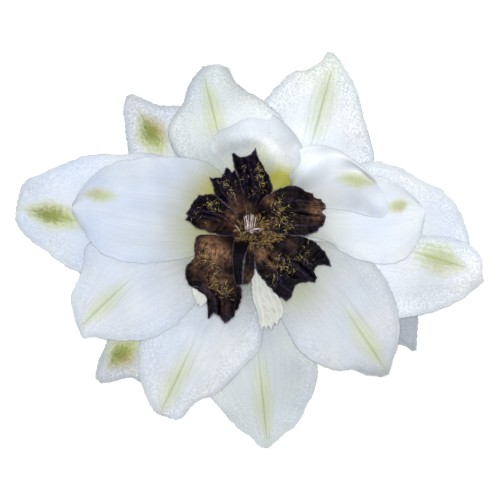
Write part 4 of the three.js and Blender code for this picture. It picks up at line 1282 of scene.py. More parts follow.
        rise=(0,), crest_share=(0.918, 0.884, 0.88, 0.872, 0.866, 0.85, 0.85, 0.857, 0.884),
        crest_height=(0.9, 2.3, 3.5, 4.4, 5.4, 6.6, 8, 7.6, 6),
        turned_back=(0.4, 0.6, 1.2, 2.2, 3.8, 5.2, 5.4, 3.9, 1.3), serration=0.02, crisp=0.35, throat=0.8,
        depth=0, sap=-0.2, lines=0.08,
        painted_shading=((-6.2, 13.2, 1.4, -0.1), (-6, 11.2, 1.2, 0.14), (-4, 11.9, 1.1, 0.22),
            (-2.2, 12.4, 1.1, 0.28), (-0.4, 12.8, 1.1, 0.3), (1.1, 12.9, 0.8, 0.2), (5.2, 12.4, 1.4, 0.06),
            (2.6, 13.5, 0.7, -0.2), (3.5, 12.1, 0.8, -0.22), (-4, 13.6, 1.7, 0.1), (-2.6, 15.2, 1.4, -0.04),
            (0.4, 16.2, 1.9, -0.32), (3.4, 15.6, 1.8, -0.3), (5.6, 14, 1, -0.12), (7.3, 12.3, 1, -0.32),
            (5.6, 10.6, 1.1, 0.1), (5, 7.6, 1.8, -0.42)),
        greens=((4.8, 7.4, 1.8, 0.9), (1.6, 11.8, 1.6, 0.2), (-4.4, 13.6, 1.9, 0.16))),
)

PETALS = (
    Petal("petal_top", 85, PETAL_BASE,
        left=((-1, 3.6), (-1.7, 6.4), (-2.2, 9.2)),
        right=((1.9, 3.6), (3.1, 5.2), (3.5, 6.1), (3.1, 7.7), (2.3, 9.2)),
        tip=((-2.6, 11.4), (-2.2, 11.45), (-1.6, 11), (-0.8, 10.9), (-0.1, 11.1), (0.3, 11.2), (0.6, 11.7),
            (0.95, 12.4), (1.05, 11.4), (1.6, 10.3)),
        rise=(1.05, 1.6, 2), ridges=(-0.55, -0.1, 0.35),
        slits=(Slit(-0.3, 0.3, 0.95, 0.06, 0.6), Slit(0.62, 0.15, 0.7, 0.06, 0.5)),
        brown=((2.7, 5.6, 1, 0.7), (-0.5, 4.4, 1.2, 0.4)), tan=((-0.6, 3, 1.2, 0.35),),
        hairs=((1.3, 9.2, 0.55, 0.8), (1.6, 7.9, 0.55, 0.9), (1.8, 6.6, 0.5, 0.8), (0.7, 5.6, 0.5, 0.7),
            (-0.9, 9, 0.5, 0.4), (-0.6, 7.6, 0.5, 0.5))),
    Petal("petal_upper_left", 131, PETAL_BASE,
        left=((-1.9, 2.2), (-3.6, 3.9), (-5.1, 5.2), (-5.3, 6.3)),
        right=((-0.6, 3.2), (-0.8, 5.4), (-1.4, 7.6)),
        tip=((-5.9, 7.9), (-5.4, 7.6), (-4.7, 7.9), (-4.2, 7.9), (-3.75, 8.4), (-3.4, 9.3), (-3, 9.1),
            (-2.6, 8.6), (-2, 9.1)),
        rise=(2.1, 2.6, 2.6), pleats=3, fold=0.25, ridges=(-0.5, 0, 0.45),
        slits=(Slit(-0.25, 0.25, 0.9, 0.06, 0.6), Slit(0.25, 0.3, 0.95, 0.06, 0.6)),
        brown=((-1.8, 4.2, 1.8, 0.7),), tan=((-1.7, 3.3, 1.2, 0.55),),
        hairs=((-3.7, 7.1, 0.6, 0.6), (-2.9, 6, 0.6, 0.6), (-1.9, 7.2, 0.5, 0.6), (-2.4, 5.2, 0.5, 0.4))),
    Petal("petal_left", 175, PETAL_BASE,
        left=((-2.4, -0.9), (-4, -0.9), (-6, -0.3), (-7.8, 0.3)),
        right=((-2, 2.2), (-3.4, 4.2), (-5.2, 5.3), (-6.5, 5.3)),
        tip=((-9.2, 1.5), (-9.5, 1.5), (-9.1, 2), (-9.45, 2.5), (-8.8, 3.4), (-8.2, 4.3), (-7.5, 5.2)),
        rise=(1.05, 1.6, 1.5), ridges=(-0.3, 0.15), slits=(Slit(-0.05, 0.2, 0.8, 0.06, 0.6),),
        brown=((-6, 0.5, 1.6, 0.7), (-3, 1.2, 1.8, 0.6)),
        tan=((-2.4, 1.8, 1.1, 0.5), (-6.4, 0.3, 0.9, 0.15)),
        hairs=((-5.9, 4.2, 0.7, 0.8), (-5, 3.5, 0.6, 0.8), (-8, 2.1, 0.6, 0.5), (-6.8, 1.6, 0.5, 0.2))),
    Petal("petal_right", 20, PETAL_BASE,
        left=((1.5, 3.6), (2.3, 4.9), (3.4, 5.6), (5, 6.3), (7.1, 6.5), (8.6, 5.7)),
        right=((2.3, 0.3), (3.3, -0.2), (5.6, -0.75), (7.7, -0.9)),
        tip=((9.4, 5.4), (9.9, 4.75), (10.8, 4.5), (11.3, 3.9), (11.5, 3.2), (10.8, 2.7), (11.4, 2),
            (11.4, 1.2), (10.9, 0.6), (10.4, 0.25), (10.1, -0.3)),
        rise=(2.1, 2.8, 2.6), fold=0.3, ridges=(-0.35, 0.5), slits=(Slit(0.1, 0.5, 1, 0.05, 1.1),),
        brown=((6.6, 4.9, 1.8, 0.3), (7.2, 0.6, 2.2, 0.4), (3.2, 4.4, 1.6, 0.5), (10.2, 3.2, 1.6, 1)),
        tan=((2.9, 4.7, 0.9, 0.4), (3.4, 0.9, 0.8, 0.35), (10.2, 2.8, 1.3, 0.55)),
        hairs=((4.6, 4.2, 0.8, 0.6), (4.5, 2.8, 1.1, 1), (5.2, 1.2, 1.1, 1))),
    Petal("petal_lower_right", 325, PETAL_BASE,
        left=((2.6, -0.5), (4.4, -0.6), (7.2, -0.8), (9, -1.3), (10.6, -2.5), (11.8, -4)),
        right=((0.7, -2.4), (0.8, -4.4), (1.3, -6.3), (2.6, -8), (4.3, -9.8)),
        tip=((12.3, -5.5), (11.2, -5.2), (10.3, -5.3), (9.5, -6.2), (10.15, -7.2), (9.9, -7.9), (9.3, -7.7),
            (8.1, -7.8), (7, -8.1), (6.5, -9.2), (6.4, -10.1), (5.6, -10.6)),
        rise=(1.05, 1.6, 1.5), fold=0.4, ridges=(-0.45, 0.05, 0.6),
        slits=(Slit(0.3, 0.3, 0.9, 0.06, 1), Slit(-0.15, 0.45, 1, 0.06, 0.7)),
        brown=((5.8, -3.2, 1.7, 0.3), (3, -4.6, 1.5, 0.5), (8.6, -3.4, 1, 0.3), (7.6, -6, 1.1, 0.3)),
        tan=((1.9, -3.6, 1, 0.8), (3.2, -4.6, 0.9, 0.6), (6.2, -2.2, 0.7, 0.25)),
        hairs=((8.1, -3.8, 0.9, 0.8), (4.8, -5.1, 0.9, 0.9), (6.2, -5.6, 0.7, 0.6), (3.5, -7.3, 0.8, 0.9))),
    Petal("petal_lower_left", 228, PETAL_BASE,
        left=((-1.5, -2.6), (-1.6, -4.6), (-1.8, -6.6), (-1.7, -8), (-1.1, -8.9), (-1.2, -10.6)),
        right=((-3.2, -0.9), (-6, -0.7), (-7.8, -1), (-8.2, -2.7), (-8.1, -4.1), (-9, -5), (-9.5, -6.4),
            (-8.9, -8.2), (-7.4, -8.5), (-6.6, -9.3)),
        tip=((-1.7, -11.6), (-2.1, -12.2), (-2.2, -12.9), (-2.9, -13.4), (-3.6, -13.9), (-4.1, -13.4),
            (-4.5, -12.9), (-5.2, -12.4), (-6.1, -13.3), (-6.1, -12), (-6.2, -11)),
        rise=(2.1, 2.8, 2.6), pleats=3, fold=0.3, ridges=(-0.3, 0.3),
        slits=(Slit(0.12, 0.68, 1, 0.09, 1.1),),
        brown=((-5.8, -3, 2.4, 1), (-7.6, -6.2, 1.9, 0.8), (-3.4, -4.6, 1.6, 0.6), (-4.4, -8.4, 2.2, 0.9),
            (-3.2, -11.6, 1.4, 0.8)),
        tan=((-5.8, -2.2, 1.3, 0.8), (-4, -3.6, 1.2, 0.85), (-6.6, -4.2, 1.5, 0.6), (-4.6, -7.6, 1.4, 0.4)),
        hairs=((-6.5, -4, 1, 1), (-5.6, -5.4, 0.9, 0.9), (-4.8, -8, 0.8, 1), (-3.6, -9.2, 0.8, 0.8),
            (-5, -6.6, 0.6, 0.5))),
    Petal("petal_folded", 261, PETAL_BASE,
        left=((0.4, -1.4), (-0.1, -2.7), (-0.7, -4.2), (-1, -6.4)),
        right=((-2.1, -1.3), (-2.45, -3.2), (-2.4, -6)), tip=((-1, -8.1), (-1.5, -8.4), (-2.1, -8)),
        rise=(3.4, 3.9, 3.2), base_half_width=1.1, pleats=1, fold=-0.3, crumple=0.12,
        tan=((-0.9, -1.2, 0.35, 1), (-1.7, -1.3, 0.35, 1))),
    Petal("petal_folded_flap", 272, PETAL_BASE,
        left=((0.8, -2.6), (0.9, -4.6), (0.8, -6.4)), right=((-0.6, -2.6), (-0.6, -4.6), (-0.9, -6.4)),
        tip=((0.2, -7.7), (-0.4, -8.2), (-0.9, -8.2)), rise=(2.3, 2.9, 2.3), base_half_width=0.6,
        pleats=0.5, fold=0.3, crumple=0.12, violet=0.3, ridges=(0.2,),
        brown=((0.2, -4, 1.8, 0.7), (0, -7, 1.2, 0.5)),
        tan=((0.6, -2.4, 0.9, 0.7), (-0.1, -6.8, 1, 0.3))),
)

PETALOIDS = (
    Petal("petaloid_lower", 293, PETALOID_BASE,
        left=((2.6, -4.4), (3.6, -8.2), (4.6, -10.4), (5.1, -11.6)),
        right=((0.6, -4.8), (0.45, -8.1), (0.6, -10.4), (1.2, -12)),
        tip=((5.1, -12.5), (4.85, -13.3), (4.5, -13.1), (4.2, -14.2), (3.8, -13.8), (3.3, -14.9),
            (2.9, -14.2), (2.5, -14.8), (2.25, -14.2), (1.9, -15), (1.7, -14.3), (1.5, -13.9)),
        rise=(1.1, 1.5, 1.2), base_half_width=0.8, pleats=4, fold=0.12, crumple=0.1),
    Petal("petaloid_left", 222, PETALOID_BASE,
        left=((-2.8, -4.4), (-4.4, -8.2), (-5.6, -10)), right=((-4.4, -3.2), (-7.6, -6.8), (-8.4, -8.7)),
        tip=((-6.6, -10.9), (-7.3, -11.6), (-7.5, -11), (-7.9, -11.3), (-7.8, -10.7), (-8.3, -9.8)),
        rise=(1.1, 1.5, 1.2), base_half_width=0.8, pleats=1, fold=0.15, crumple=0.08),
)


# ---------------------------------------------------------------- tubes and turned forms


def wall_faces(rings: Array) -> list:
    """The faces between rings of vertices, which turn anticlockwise as they rise."""
    ahead = np.roll(rings, -1, axis=1)
    return np.stack([rings[:-1], ahead[:-1], ahead[1:], rings[1:]], axis=2).reshape(-1, 4).tolist()


def turned(wall: Array, uneven: Array) -> tuple[Array, Array]:
    """Turns a wall round the axis.

    Args:
        wall: pairs of radius and height in mm, from the bottom.
        uneven: what multiplies the radius, for each height and each side.

    Returns:
        The vertices, and their places in rings.
    """
    sides = uneven.shape[1]
    turn = np.linspace(0, TAU, sides, endpoint=False)
    radius = wall[:, :1] * uneven
    height = np.repeat(wall[:, 1:], sides, axis=1)
    points = np.dstack([radius * np.cos(turn), radius * np.sin(turn), height]).reshape(-1, 3)
    return points, np.arange(len(points)).reshape(-1, sides)


def tube(route: Array, radii: Array, sides: int, knurl: float = 0.0, seed: int = 1) -> Shell:
    """A round closed tube along a route.

    Args:
        route: its middle line, in mm.
        radii: its radius at each point of the route.
        sides: how many sides it has.
        knurl: how far its surface wanders in and out, in mm.
        seed: picks the wander.

    Returns:
        Its vertices and faces.
    """
    along = np.gradient(route, axis=0)
    along /= np.linalg.norm(along, axis=1, keepdims=True)
    side = np.cross(along, (0.0, 0.0, 1.0))
    side[np.linalg.norm(side, axis=1) < 1e-3] = (1.0, 0.0, 0.0)
    side /= np.linalg.norm(side, axis=1, keepdims=True)
    up = np.cross(side, along)
    turn = np.linspace(0, TAU, sides, endpoint=False)
    steps = np.arange(len(route))[:, None] * KNURL_STEP
    wander = knurl * drift(steps, KNURL_ROUND * np.cos(turn)[None], KNURL_LENGTH, seed)
    wander = wander + knurl * drift(steps, KNURL_ROUND * np.sin(turn)[None], KNURL_LENGTH, seed + 1)
    reach = radii[:, None] + wander
    ring = side[:, None] * np.cos(turn)[None, :, None] + up[:, None] * np.sin(turn)[None, :, None]
    points = (route[:, None] + ring * reach[..., None]).reshape(-1, 3)
    rings = np.arange(len(points)).reshape(-1, sides)
    walls = [[a, d, c, b] for a, b, c, d in wall_faces(rings)]
    return points, [*walls, rings[0].tolist(), rings[-1][::-1].tolist()]


def gathered(shells: list[Shell]) -> Shell:
    """Puts several closed shells into one.

    Args:
        shells: the vertices and faces of each.

    Returns:
        The vertices and faces of all.
    """
    faces, count = [], 0
    for points, part in shells:
        faces += [[corner + count for corner in face] for face in part]
        count += len(points)
    return np.vstack([points for points, _ in shells]), faces


def on_bearing(bearing: float, route: Points, steps: int) -> Array:
    """A smooth route on one bearing through pairs of distance and height."""
    corners = [(*polar(distance, bearing), height) for distance, height in route]
    return smooth_curve(np.array(corners), np.linspace(0, 1, steps))


@dataclass(frozen=True)
class Spur:
    """The hollow spur that runs back from the base of one sepal and lies on the surface."""

    bearing: float = 66
    base_radius: float = 1.35
    tip_radius: float = 0.7
    route: Points = ((5.6, 3.2), (6.8, 2.2), (9.2, 1.4), (13.5, 1.0), (18.5, 0.7))
    steps: int = 72
    sides: int = 28
    rounded: float = 0.05  # the share of its length that its round end takes

    def build(self) -> None:
        """Builds the spur: wrinkled, tapered, with a rounded end, and green towards it."""
        share = np.linspace(0, 1, self.steps)
        radii = self.base_radius + (self.tip_radius - self.base_radius) * share
        beyond = np.maximum(share - (1 - self.rounded), 0)
        radii *= np.sqrt(np.clip(1 - beyond**2 / self.rounded**2, 0.02, 1))
        route = on_bearing(self.bearing, self.route, self.steps)
        points, faces = tube(route, radii, self.sides, knurl=0.05, seed=4)
        points[:, 2] = np.maximum(points[:, 2], LOWEST)
        piece = new_piece("sepal_spurred_spur", points, faces)
        along = np.repeat(share, self.sides)
        around = np.tile(np.linspace(-1, 1, self.sides), self.steps)
        looks = {
            "place": np.stack([along, around, along], axis=1),
            "edge": np.full(len(along), 3.0),
            "mark": np.stack([2 - 2.2 * along, 0 * along, 0.6 + 0 * along], axis=1),
            "look": np.tile((0.35, 0.0, 0.0), (len(along), 1)),
            "tone": np.tile((0.97, 0.1, 0.2), (len(along), 1)),
            "throat": 0.15 + 0.2 * along,
        }
        write_attributes(piece, looks)
        settle(piece, WHITE_SEPAL, "white_sepal", "sepal_spurred")


# ---------------------------------------------------------------- what repeats, made by node trees


def start_tree(name: str, sizes: tuple[str, ...]) -> Tree:
    """Starts a geometry tree with named inputs: the geometry, its sizes and a seed.

    Args:
        name: the tree's name.
        sizes: the names of the sizes.

    Returns:
        The tree.
    """
    tree = bpy.data.node_groups.new(name, "GeometryNodeTree")
    sockets = [("Geometry", "INPUT", "Geometry"), ("Geometry", "OUTPUT", "Geometry")]
    sockets += [(size, "INPUT", "Float") for size in sizes]
    for title, way, kind in (*sockets, ("Seed", "INPUT", "Int")):
        tree.interface.new_socket(title, in_out=way, socket_type=f"NodeSocket{kind}")
    return tree


def plant(tree: Tree, seed: object, sizes: Point, finish: Finish, **what: object) -> None:
    """Ends a geometry tree: a thread of random size on each point, as one dressed mesh.

    Args:
        tree: the tree.
        seed: the output that gives the seed.
        sizes: the smallest and the largest scale.
        finish: what the threads are dressed with.
        what: the points, the instance and its rotation.
    """
    size = add_node(tree, RANDOM, {2: sizes[0], 3: sizes[1], "Seed": seed}, data_type="FLOAT")
    inputs = {"Scale": size.outputs[1]} | {name.capitalize(): value for name, value in what.items()}
    placed = add_node(tree, "GeometryNodeInstanceOnPoints", inputs)
    real = add_node(tree, "GeometryNodeRealizeInstances", {"Geometry": placed})
    look = {"Geometry": real, "Material": finish.material()}
    add_node(tree, "NodeGroupOutput", {"Geometry": add_node(tree, "GeometryNodeSetMaterial", look)})


def run_tree(host: Piece, tree: Tree, values: dict[str, float]) -> None:
    """Runs a geometry tree on an object and keeps what it makes as the object's plain mesh.

    Args:
        host: the object.
        tree: the tree.
        values: what each of its named inputs gets.
    """
    modifier = host.modifiers.new("made_by_rule", "NODES")
    modifier.node_group = tree
    for socket in tree.interface.items_tree:
        if socket.name in values:
            modifier[socket.identifier] = values[socket.name]
    made = bpy.data.meshes.new_from_object(host.evaluated_get(bpy.context.evaluated_depsgraph_get()))
    host.modifiers.remove(modifier)
    host.data = made
    made.name = host.name


@dataclass(frozen=True)
class HairCoat:
    """Fine hairs that grow where the skin's hair attribute lets them. Sizes are in mm."""

    name: str
    density: float  # hairs on a square mm at full strength
    length: float
    radius: float
    bend: float  # how far its tip bends over, as a share of its length
    tilt: float  # radians off the skin's normal
    seed: int
    sizes: Point = (0.55, 1.2)  # the shortest and the longest, as shares of the length
    tip_width: float = 0.25  # a share of its foot's

    def tree(self, finish: Finish) -> Tree:
        """Builds the node tree: points on the skin, a bent tapered hair on each.

        Args:
            finish: what the hairs are dressed with.

        Returns:
            The tree.
        """
        tree = start_tree(self.name, ("Density", "Length", "Radius", "Bend", "Tilt"))
        node = partial(add_node, tree)
        skin, density, length, radius, bend, tilt, seed, _ = node("NodeGroupInput").outputs
        where = node("GeometryNodeInputNamedAttribute", {"Name": "hair"}, data_type="FLOAT")
        density = node(MATH, (where, density), **TIMES)
        points = {"Mesh": skin, "Density": density, "Seed": seed}
        points = node("GeometryNodeDistributePointsOnFaces", points)
        line = node("GeometryNodeCurvePrimitiveLine", {"End": node(JOIN, {"Z": length})})
        line = node("GeometryNodeResampleCurve", {"Curve": line, "Count": 5})
        share = node("GeometryNodeSplineParameter").outputs["Factor"]
        curve = node(MATH, (share, 2.0), operation="POWER")
        for factor in (bend, length):
            curve = node(MATH, (curve, factor), **TIMES)
        line = node("GeometryNodeSetPosition", {"Geometry": line, "Offset": node(JOIN, {"X": curve})})
        taper = node(RANGE, (share, 0.0, 1.0, 1.0, self.tip_width))
        ring = node("GeometryNodeCurvePrimitiveCircle", {"Resolution": 3, "Radius": radius})
        hair = {"Curve": line, "Profile Curve": ring, "Scale": taper, "Fill Caps": True}
        hair = node("GeometryNodeCurveToMesh", hair)
        low = node(MATH, (tilt, -1.0), **TIMES)
        range_ends = {"Min": node(JOIN, (low, low, -math.pi)), "Max": node(JOIN, (tilt, tilt, math.pi))}
        lean = node(RANDOM, {**range_ends, "Seed": seed}, data_type="FLOAT_VECTOR")
        lean = node("FunctionNodeEulerToRotation", (lean,))
        upright = {"Rotation": points.outputs["Rotation"], "Rotate By": lean}
        upright = node("FunctionNodeRotateRotation", upright, rotation_space="LOCAL")
        plant(tree, seed, self.sizes, finish, points=points, instance=hair, rotation=upright)
        return tree

    def grow(self, skins: list[Piece], finish: Finish, slot: str, *nodes: str) -> None:
        """Grows the coat on some skins, as one piece of its own.

        Args:
            skins: the pieces with the hair attribute.
            finish: what the hairs are dressed with.
            slot: passed on to settle.
            nodes: the nodes that the coat belongs to.
        """
        shells, strengths = [], []
        for mesh in (skin.data for skin in skins):
            points, strength = np.empty(len(mesh.vertices) * 3), np.empty(len(mesh.vertices))
            mesh.vertices.foreach_get("co", points)
            mesh.attributes["hair"].data.foreach_get("value", strength)
            faces = [list(face.vertices) for face in mesh.polygons]
            shells.append((points.reshape(-1, 3) / MM - AXIS, faces))
            strengths.append(strength)
        coat = new_piece(self.name, *gathered(shells))
        write_attributes(coat, {"hair": np.concatenate(strengths)})
        sizes = {"Density": self.density / MM**2, "Length": self.length * MM, "Radius": self.radius * MM}
        turns = {"Bend": self.bend, "Tilt": self.tilt, "Seed": self.seed}
        run_tree(coat, self.tree(finish), sizes | turns)
        settle(coat, finish, slot, *nodes)


@dataclass(frozen=True)
class Stem:
    """The receptacle, a ribbed green cone, and the cut stalk that leaves it."""

    profile: Points = ((1.7, 0.0), (2.8, 1.1), RECEPTACLE_HIP, (2.75, 6.4), RECEPTACLE_TOP)
    rings: int = 48
    sides: int = 64
    ribs: int = 9
    rib_relief: float = 0.02  # a share of the radius
    stalk_bearing: float = 259
    stalk_radius: float = 1.0
    stalk_steps: int = 80
    route: Points = ((0.5, 2.2), (2.6, 1.5), (4.8, 1.0), (17.5, 1.0))
    hairs: HairCoat = HairCoat("stalk_hairs", 9.0, 0.45, 0.022, 0.3, 0.5, 5)

    def cone(self) -> Shell:
        """Builds the receptacle, with shallow ribs under the places where sepals leave it.

        Returns:
            Its vertices and faces.
        """
        wall = smooth_curve(self.profile, np.linspace(0, 1, self.rings))
        turn = np.linspace(0, TAU, self.sides, endpoint=False)
        ribs = 1 + self.rib_relief * np.sin(self.ribs * turn)[None] * ramp(wall[:, 1], 1, 4)[:, None]
        points, rings = turned(wall, ribs)
        return points, [*wall_faces(rings), rings[0][::-1].tolist(), rings[-1].tolist()]

    def stalk(self) -> Shell:
        """Builds the cut stalk, with its end nipped a little narrower.

        Returns:
            Its vertices and faces.
        """
        share = np.linspace(0, 1, self.stalk_steps)
        radii = self.stalk_radius * (1 - 0.1 * ramp(share, 0.96, 1) + 0.12 * (1 - ramp(share, 0, 0.2)))
        route = on_bearing(self.stalk_bearing, self.route, self.stalk_steps)
        return tube(route, radii, 32, knurl=0.035, seed=9)

    def build(self) -> None:
        """Builds the stem and the short hairs on its stalk."""
        points, faces = gathered([self.cone(), self.stalk()])
        points[:, 2] = np.maximum(points[:, 2], LOWEST)
        piece = new_piece("receptacle_and_stalk", points, faces)
        distance = np.linalg.norm(points[:, :2], axis=1)
        write_attributes(piece, {"hair": ramp(distance, 4.5, 6.5) * ramp(points[:, 2], 0.7, 1.1)})
        self.hairs.grow([piece], WHITE_HAIR, "green_stalk", "receptacle")
        settle(piece, GREEN_STALK, "green_stalk", "receptacle")


@dataclass(frozen=True)
class Stamens:
    """The crowd of stamens round the pistil: curled threads with shrunken anthers. Sizes are in mm."""

    count: int = 170
    inner: float = 0.5
    outer: float = 2.5
    middle: Point = (1.25, -0.45)
    stretch: Point = (1.15, 0.84)
    foot: float = 11.5
    height: float = 2.3
    filament_radius: float = 0.07
    anther: float = 0.4
    lean: float = 0.6
    seed: int = 11
    golden_turn: float = 0.381966  # of a full turn, from one stamen to the next
    sizes: Point = (0.5, 1.3)  # the smallest and the largest, as shares of the sizes above
    curl_start: float = 0.45  # where along its thread the curl starts
    curl: float = 2.9  # radians
    anther_start: float = 0.62
    anther_width: float = 0.4  # a share of its size
    lean_sideways: float = 0.4  # radians, to either side
    twist: float = 1.7  # radians, either way
    ring: Points = ((0.0, 11.2), (3.1, 11.2), (3.2, 11.4), (2.6, 11.65), (1.2, 11.8), (0.0, 11.85))
    ring_sides: int = 48
    pale_ends: Points = (
        (-0.7, 1.9), (-0.35, 2.15), (-0.05, 2.0), (0.3, 2.3), (0.65, 2.1), (1.0, 1.8), (-1.9, 0.6),
        (2.0, 0.2),
    )

    def base(self) -> None:
        """Builds the low fleshy ring that the stamens stand in, painted dark for the shade between them."""
        wall = smooth_curve(np.array(self.ring), np.linspace(0, 1, 26))
        turn = np.linspace(0, TAU, self.ring_sides, endpoint=False)
        inner = wall[1:-1]
        lumps = 1 + 0.05 * drift(3 * np.cos(turn)[None], 3 * np.sin(turn)[None] + inner[:, 1:], 1.6, 2)
        points, rings = turned(inner, lumps)
        poles = [(0, 0, wall[0, 1]), (0, 0, wall[-1, 1])]
        low, high = len(points), len(points) + 1
        ahead = np.roll(rings, -1, axis=1)
        floor = [[low, b, a] for a, b in zip(rings[0].tolist(), ahead[0].tolist())]
        roof = [[high, a, b] for a, b in zip(rings[-1].tolist(), ahead[-1].tolist())]
        piece = new_piece("stamen_base", np.vstack([points, poles]), [*wall_faces(rings), *floor, *roof])
        settle(piece, CHESTNUT_RING_PAINTED_DARK, "brown_stamen", "stamens")

    def roots(self) -> Array:
        """Places the stamens on rings that widen outward.

        Returns:
            A point for each.
        """
        draw = np.random.default_rng(self.seed)
        turn = (np.arange(self.count) + draw.uniform(0, 0.7, self.count)) * TAU * self.golden_turn
        radius = np.sqrt(np.linspace(self.inner**2, self.outer**2, self.count))
        x = self.stretch[0] * radius * np.cos(turn) + self.middle[0]
        y = self.stretch[1] * radius * np.sin(turn) + self.middle[1]
        return np.stack([x, y, np.full(self.count, self.foot)], axis=1)

    def tree(self, name: str, finish: Finish) -> Tree:
        """Builds the node tree of the filaments or of the anthers, which share their draws.

        Args:
            name: which of the two.
            finish: what they are dressed with.

        Returns:
            The tree.
        """
        tree = start_tree(name, ("Height", "Filament radius", "Anther", "Lean"))
        node = partial(add_node, tree)
        places, height, thin, anther, most_lean, seed, _ = node("NodeGroupInput").outputs
        share = node("GeometryNodeSplineParameter").outputs["Factor"]
        line = node("GeometryNodeCurvePrimitiveLine", {"End": node(JOIN, {"Z": height})})
        line = node("GeometryNodeResampleCurve", {"Curve": line, "Count": 14})
        # The thread leans out and its top curls over, like a shepherd's crook.
        late = node(RANGE, (share, self.curl_start, 1.0, 0.0, 1.0))
        angle = node(MATH, (late, self.curl), **TIMES)
        sine = node(MATH, (angle,), operation="SINE")
        sine = node(MATH, (sine, anther), **TIMES)
        cosine = node(MATH, (angle,), operation="COSINE")
        cosine = node(MATH, (1.0, cosine), operation="SUBTRACT")
        cosine = node(MATH, (cosine, anther), **TIMES)
        straight = node(MATH, (late, height), **TIMES)
        rise = node(MATH, (straight, self.curl_start - 1, sine), **TIMES_PLUS)
        offset = node(JOIN, {"X": cosine, "Z": rise})
        line = node("GeometryNodeSetPosition", {"Geometry": line, "Offset": offset})
        if name == "anthers":
            head = node(MATH, (share, self.anther_start), operation="LESS_THAN")
            line = node("GeometryNodeDeleteGeometry", {"Geometry": line, "Selection": head}, domain="POINT")
            again = node("GeometryNodeSplineParameter").outputs["Factor"]
            bulge = node(MATH, (again, math.pi), **TIMES)
            bulge = node(MATH, (bulge,), operation="SINE")
            taper = node(RANGE, (bulge, 0.0, 1.0, 0.35, 1.0))
            radius = node(MATH, (anther, self.anther_width), **TIMES)
        else:
            taper = node(RANGE, (share, 0.0, 1.0, 1.0, 0.6))
            radius = thin
        ring = node("GeometryNodeCurvePrimitiveCircle", {"Resolution": 8, "Radius": radius})
        thread = {"Curve": line, "Profile Curve": ring, "Scale": taper, "Fill Caps": True}
        thread = node("GeometryNodeCurveToMesh", thread)
        points = node("GeometryNodeMeshToPoints", {"Mesh": places})
        least = node(JOIN, (-self.lean_sideways, 0.0, -self.twist))
        most = node(JOIN, (self.lean_sideways, most_lean, self.twist))
        lean = node(RANDOM, {"Min": least, "Max": most, "Seed": seed}, data_type="FLOAT_VECTOR")
        lean = node("FunctionNodeEulerToRotation", (lean,))
        from_axis = node(VECTOR, (node("GeometryNodeInputPosition"), AXIS * MM), operation="SUBTRACT")
        x, y, _ = node(SPLIT, (from_axis,)).outputs
        bearing = node(MATH, (y, x), operation="ARCTAN2")
        facing = node("FunctionNodeEulerToRotation", (node(JOIN, {"Z": bearing}),))
        upright = {"Rotation": facing, "Rotate By": lean}
        upright = node("FunctionNodeRotateRotation", upright, rotation_space="LOCAL")
        plant(tree, seed, self.sizes, finish, points=points, instance=thread, rotation=upright)
        return tree

    def pale_threads(self) -> None:
        """Builds the few young stamens in the middle, whose threads are still pale."""
        shells = []
        top, steps = self.foot + self.height, 22
        for index, (x, y) in enumerate(self.pale_ends):
            foot = (0.7 * x + 0.1, 0.1 * y - 0.6, self.foot)
            knee = (0.8 * x, 0.4 * y - 0.2, top + 0.1)
            drop = (1.05 * x, 1.08 * y, top - 0.1)
            route = smooth_curve(np.array([foot, knee, (x, y, top + 0.3), drop]), np.linspace(0, 1, steps))
            shells.append(tube(route, np.linspace(0.08, 0.045, steps), 8, knurl=0.01, seed=index))
        piece = new_piece("stamen_pale_threads", *gathered(shells))
        settle(piece, PALE_STYLE, "brown_stamen", "stamens")

    def build(self) -> None:
        """Builds the ring, the pale threads, the filaments and the anthers, each as one piece."""
        self.base()
        self.pale_threads()
        sizes = {"Height": self.height, "Filament radius": self.filament_radius, "Anther": self.anther}
        values = {name: size * MM for name, size in sizes.items()} | {"Lean": self.lean, "Seed": self.seed}
        for name, finish in (("filaments", BROWN_FILAMENT), ("anthers", BROWN_ANTHER)):
            piece = new_piece(f"stamen_{name}", self.roots(), [])
            run_tree(piece, self.tree(name, finish), values)
            settle(piece, finish, "brown_stamen", "stamens")


@dataclass(frozen=True)
class Pistil:
    """Three young follicles, each drawn out into a pale style that curls. Sizes are in mm."""

    foot: float = 11.7
    height: float = 1.3
    follicle_radius: float = 0.3
    style_radius: float = 0.12
    first_bearing: float = 130
    bearing_step: float = -80
    body_steps: int = 24
    style_steps: int = 28
    ends: Points = ((-0.5, 2.1), (0.5, 2.2), (1.7, 0.2))

    def build(self) -> None:
        """Builds the three follicles and their styles."""
        shells = []
        top = self.foot + self.height
        share = np.linspace(0, 1, self.body_steps)
        swell = self.follicle_radius * (0.75 + 0.35 * np.sin(math.pi * share) - 0.35 * ramp(share, 0.6, 1))
        thin = self.style_radius * (1.25 - 0.55 * np.linspace(0, 1, self.style_steps))
        thin[-3:] *= np.array([1.1, 1.2, 0.8])
        for index, (x, y) in enumerate(self.ends):
            bearing = self.first_bearing + index * self.bearing_step
            spine = ((0.4, self.foot), (0.48, top - 0.8), (0.36, top + 0.1))
            body = on_bearing(bearing, spine, self.body_steps)
            shells.append(tube(body, swell, 18, knurl=0.02, seed=index))
            foot = (*polar(0.34, bearing), top - 0.6)
            knee = (*polar(0.3, bearing), top + 0.7)
            bends = np.array([foot, knee, (0.55 * x, 0.55 * y, top + 1.3), (x, y, top + 1.2)])
            style = smooth_curve(bends, np.linspace(0, 1, self.style_steps))
            shells.append(tube(style, thin, 12, knurl=0.015, seed=index + 5))
        piece = new_piece("pistil", *gathered(shells))
        settle(piece, PALE_STYLE, "pale_carpel", "carpels")


# ---------------------------------------------------------------- the flower


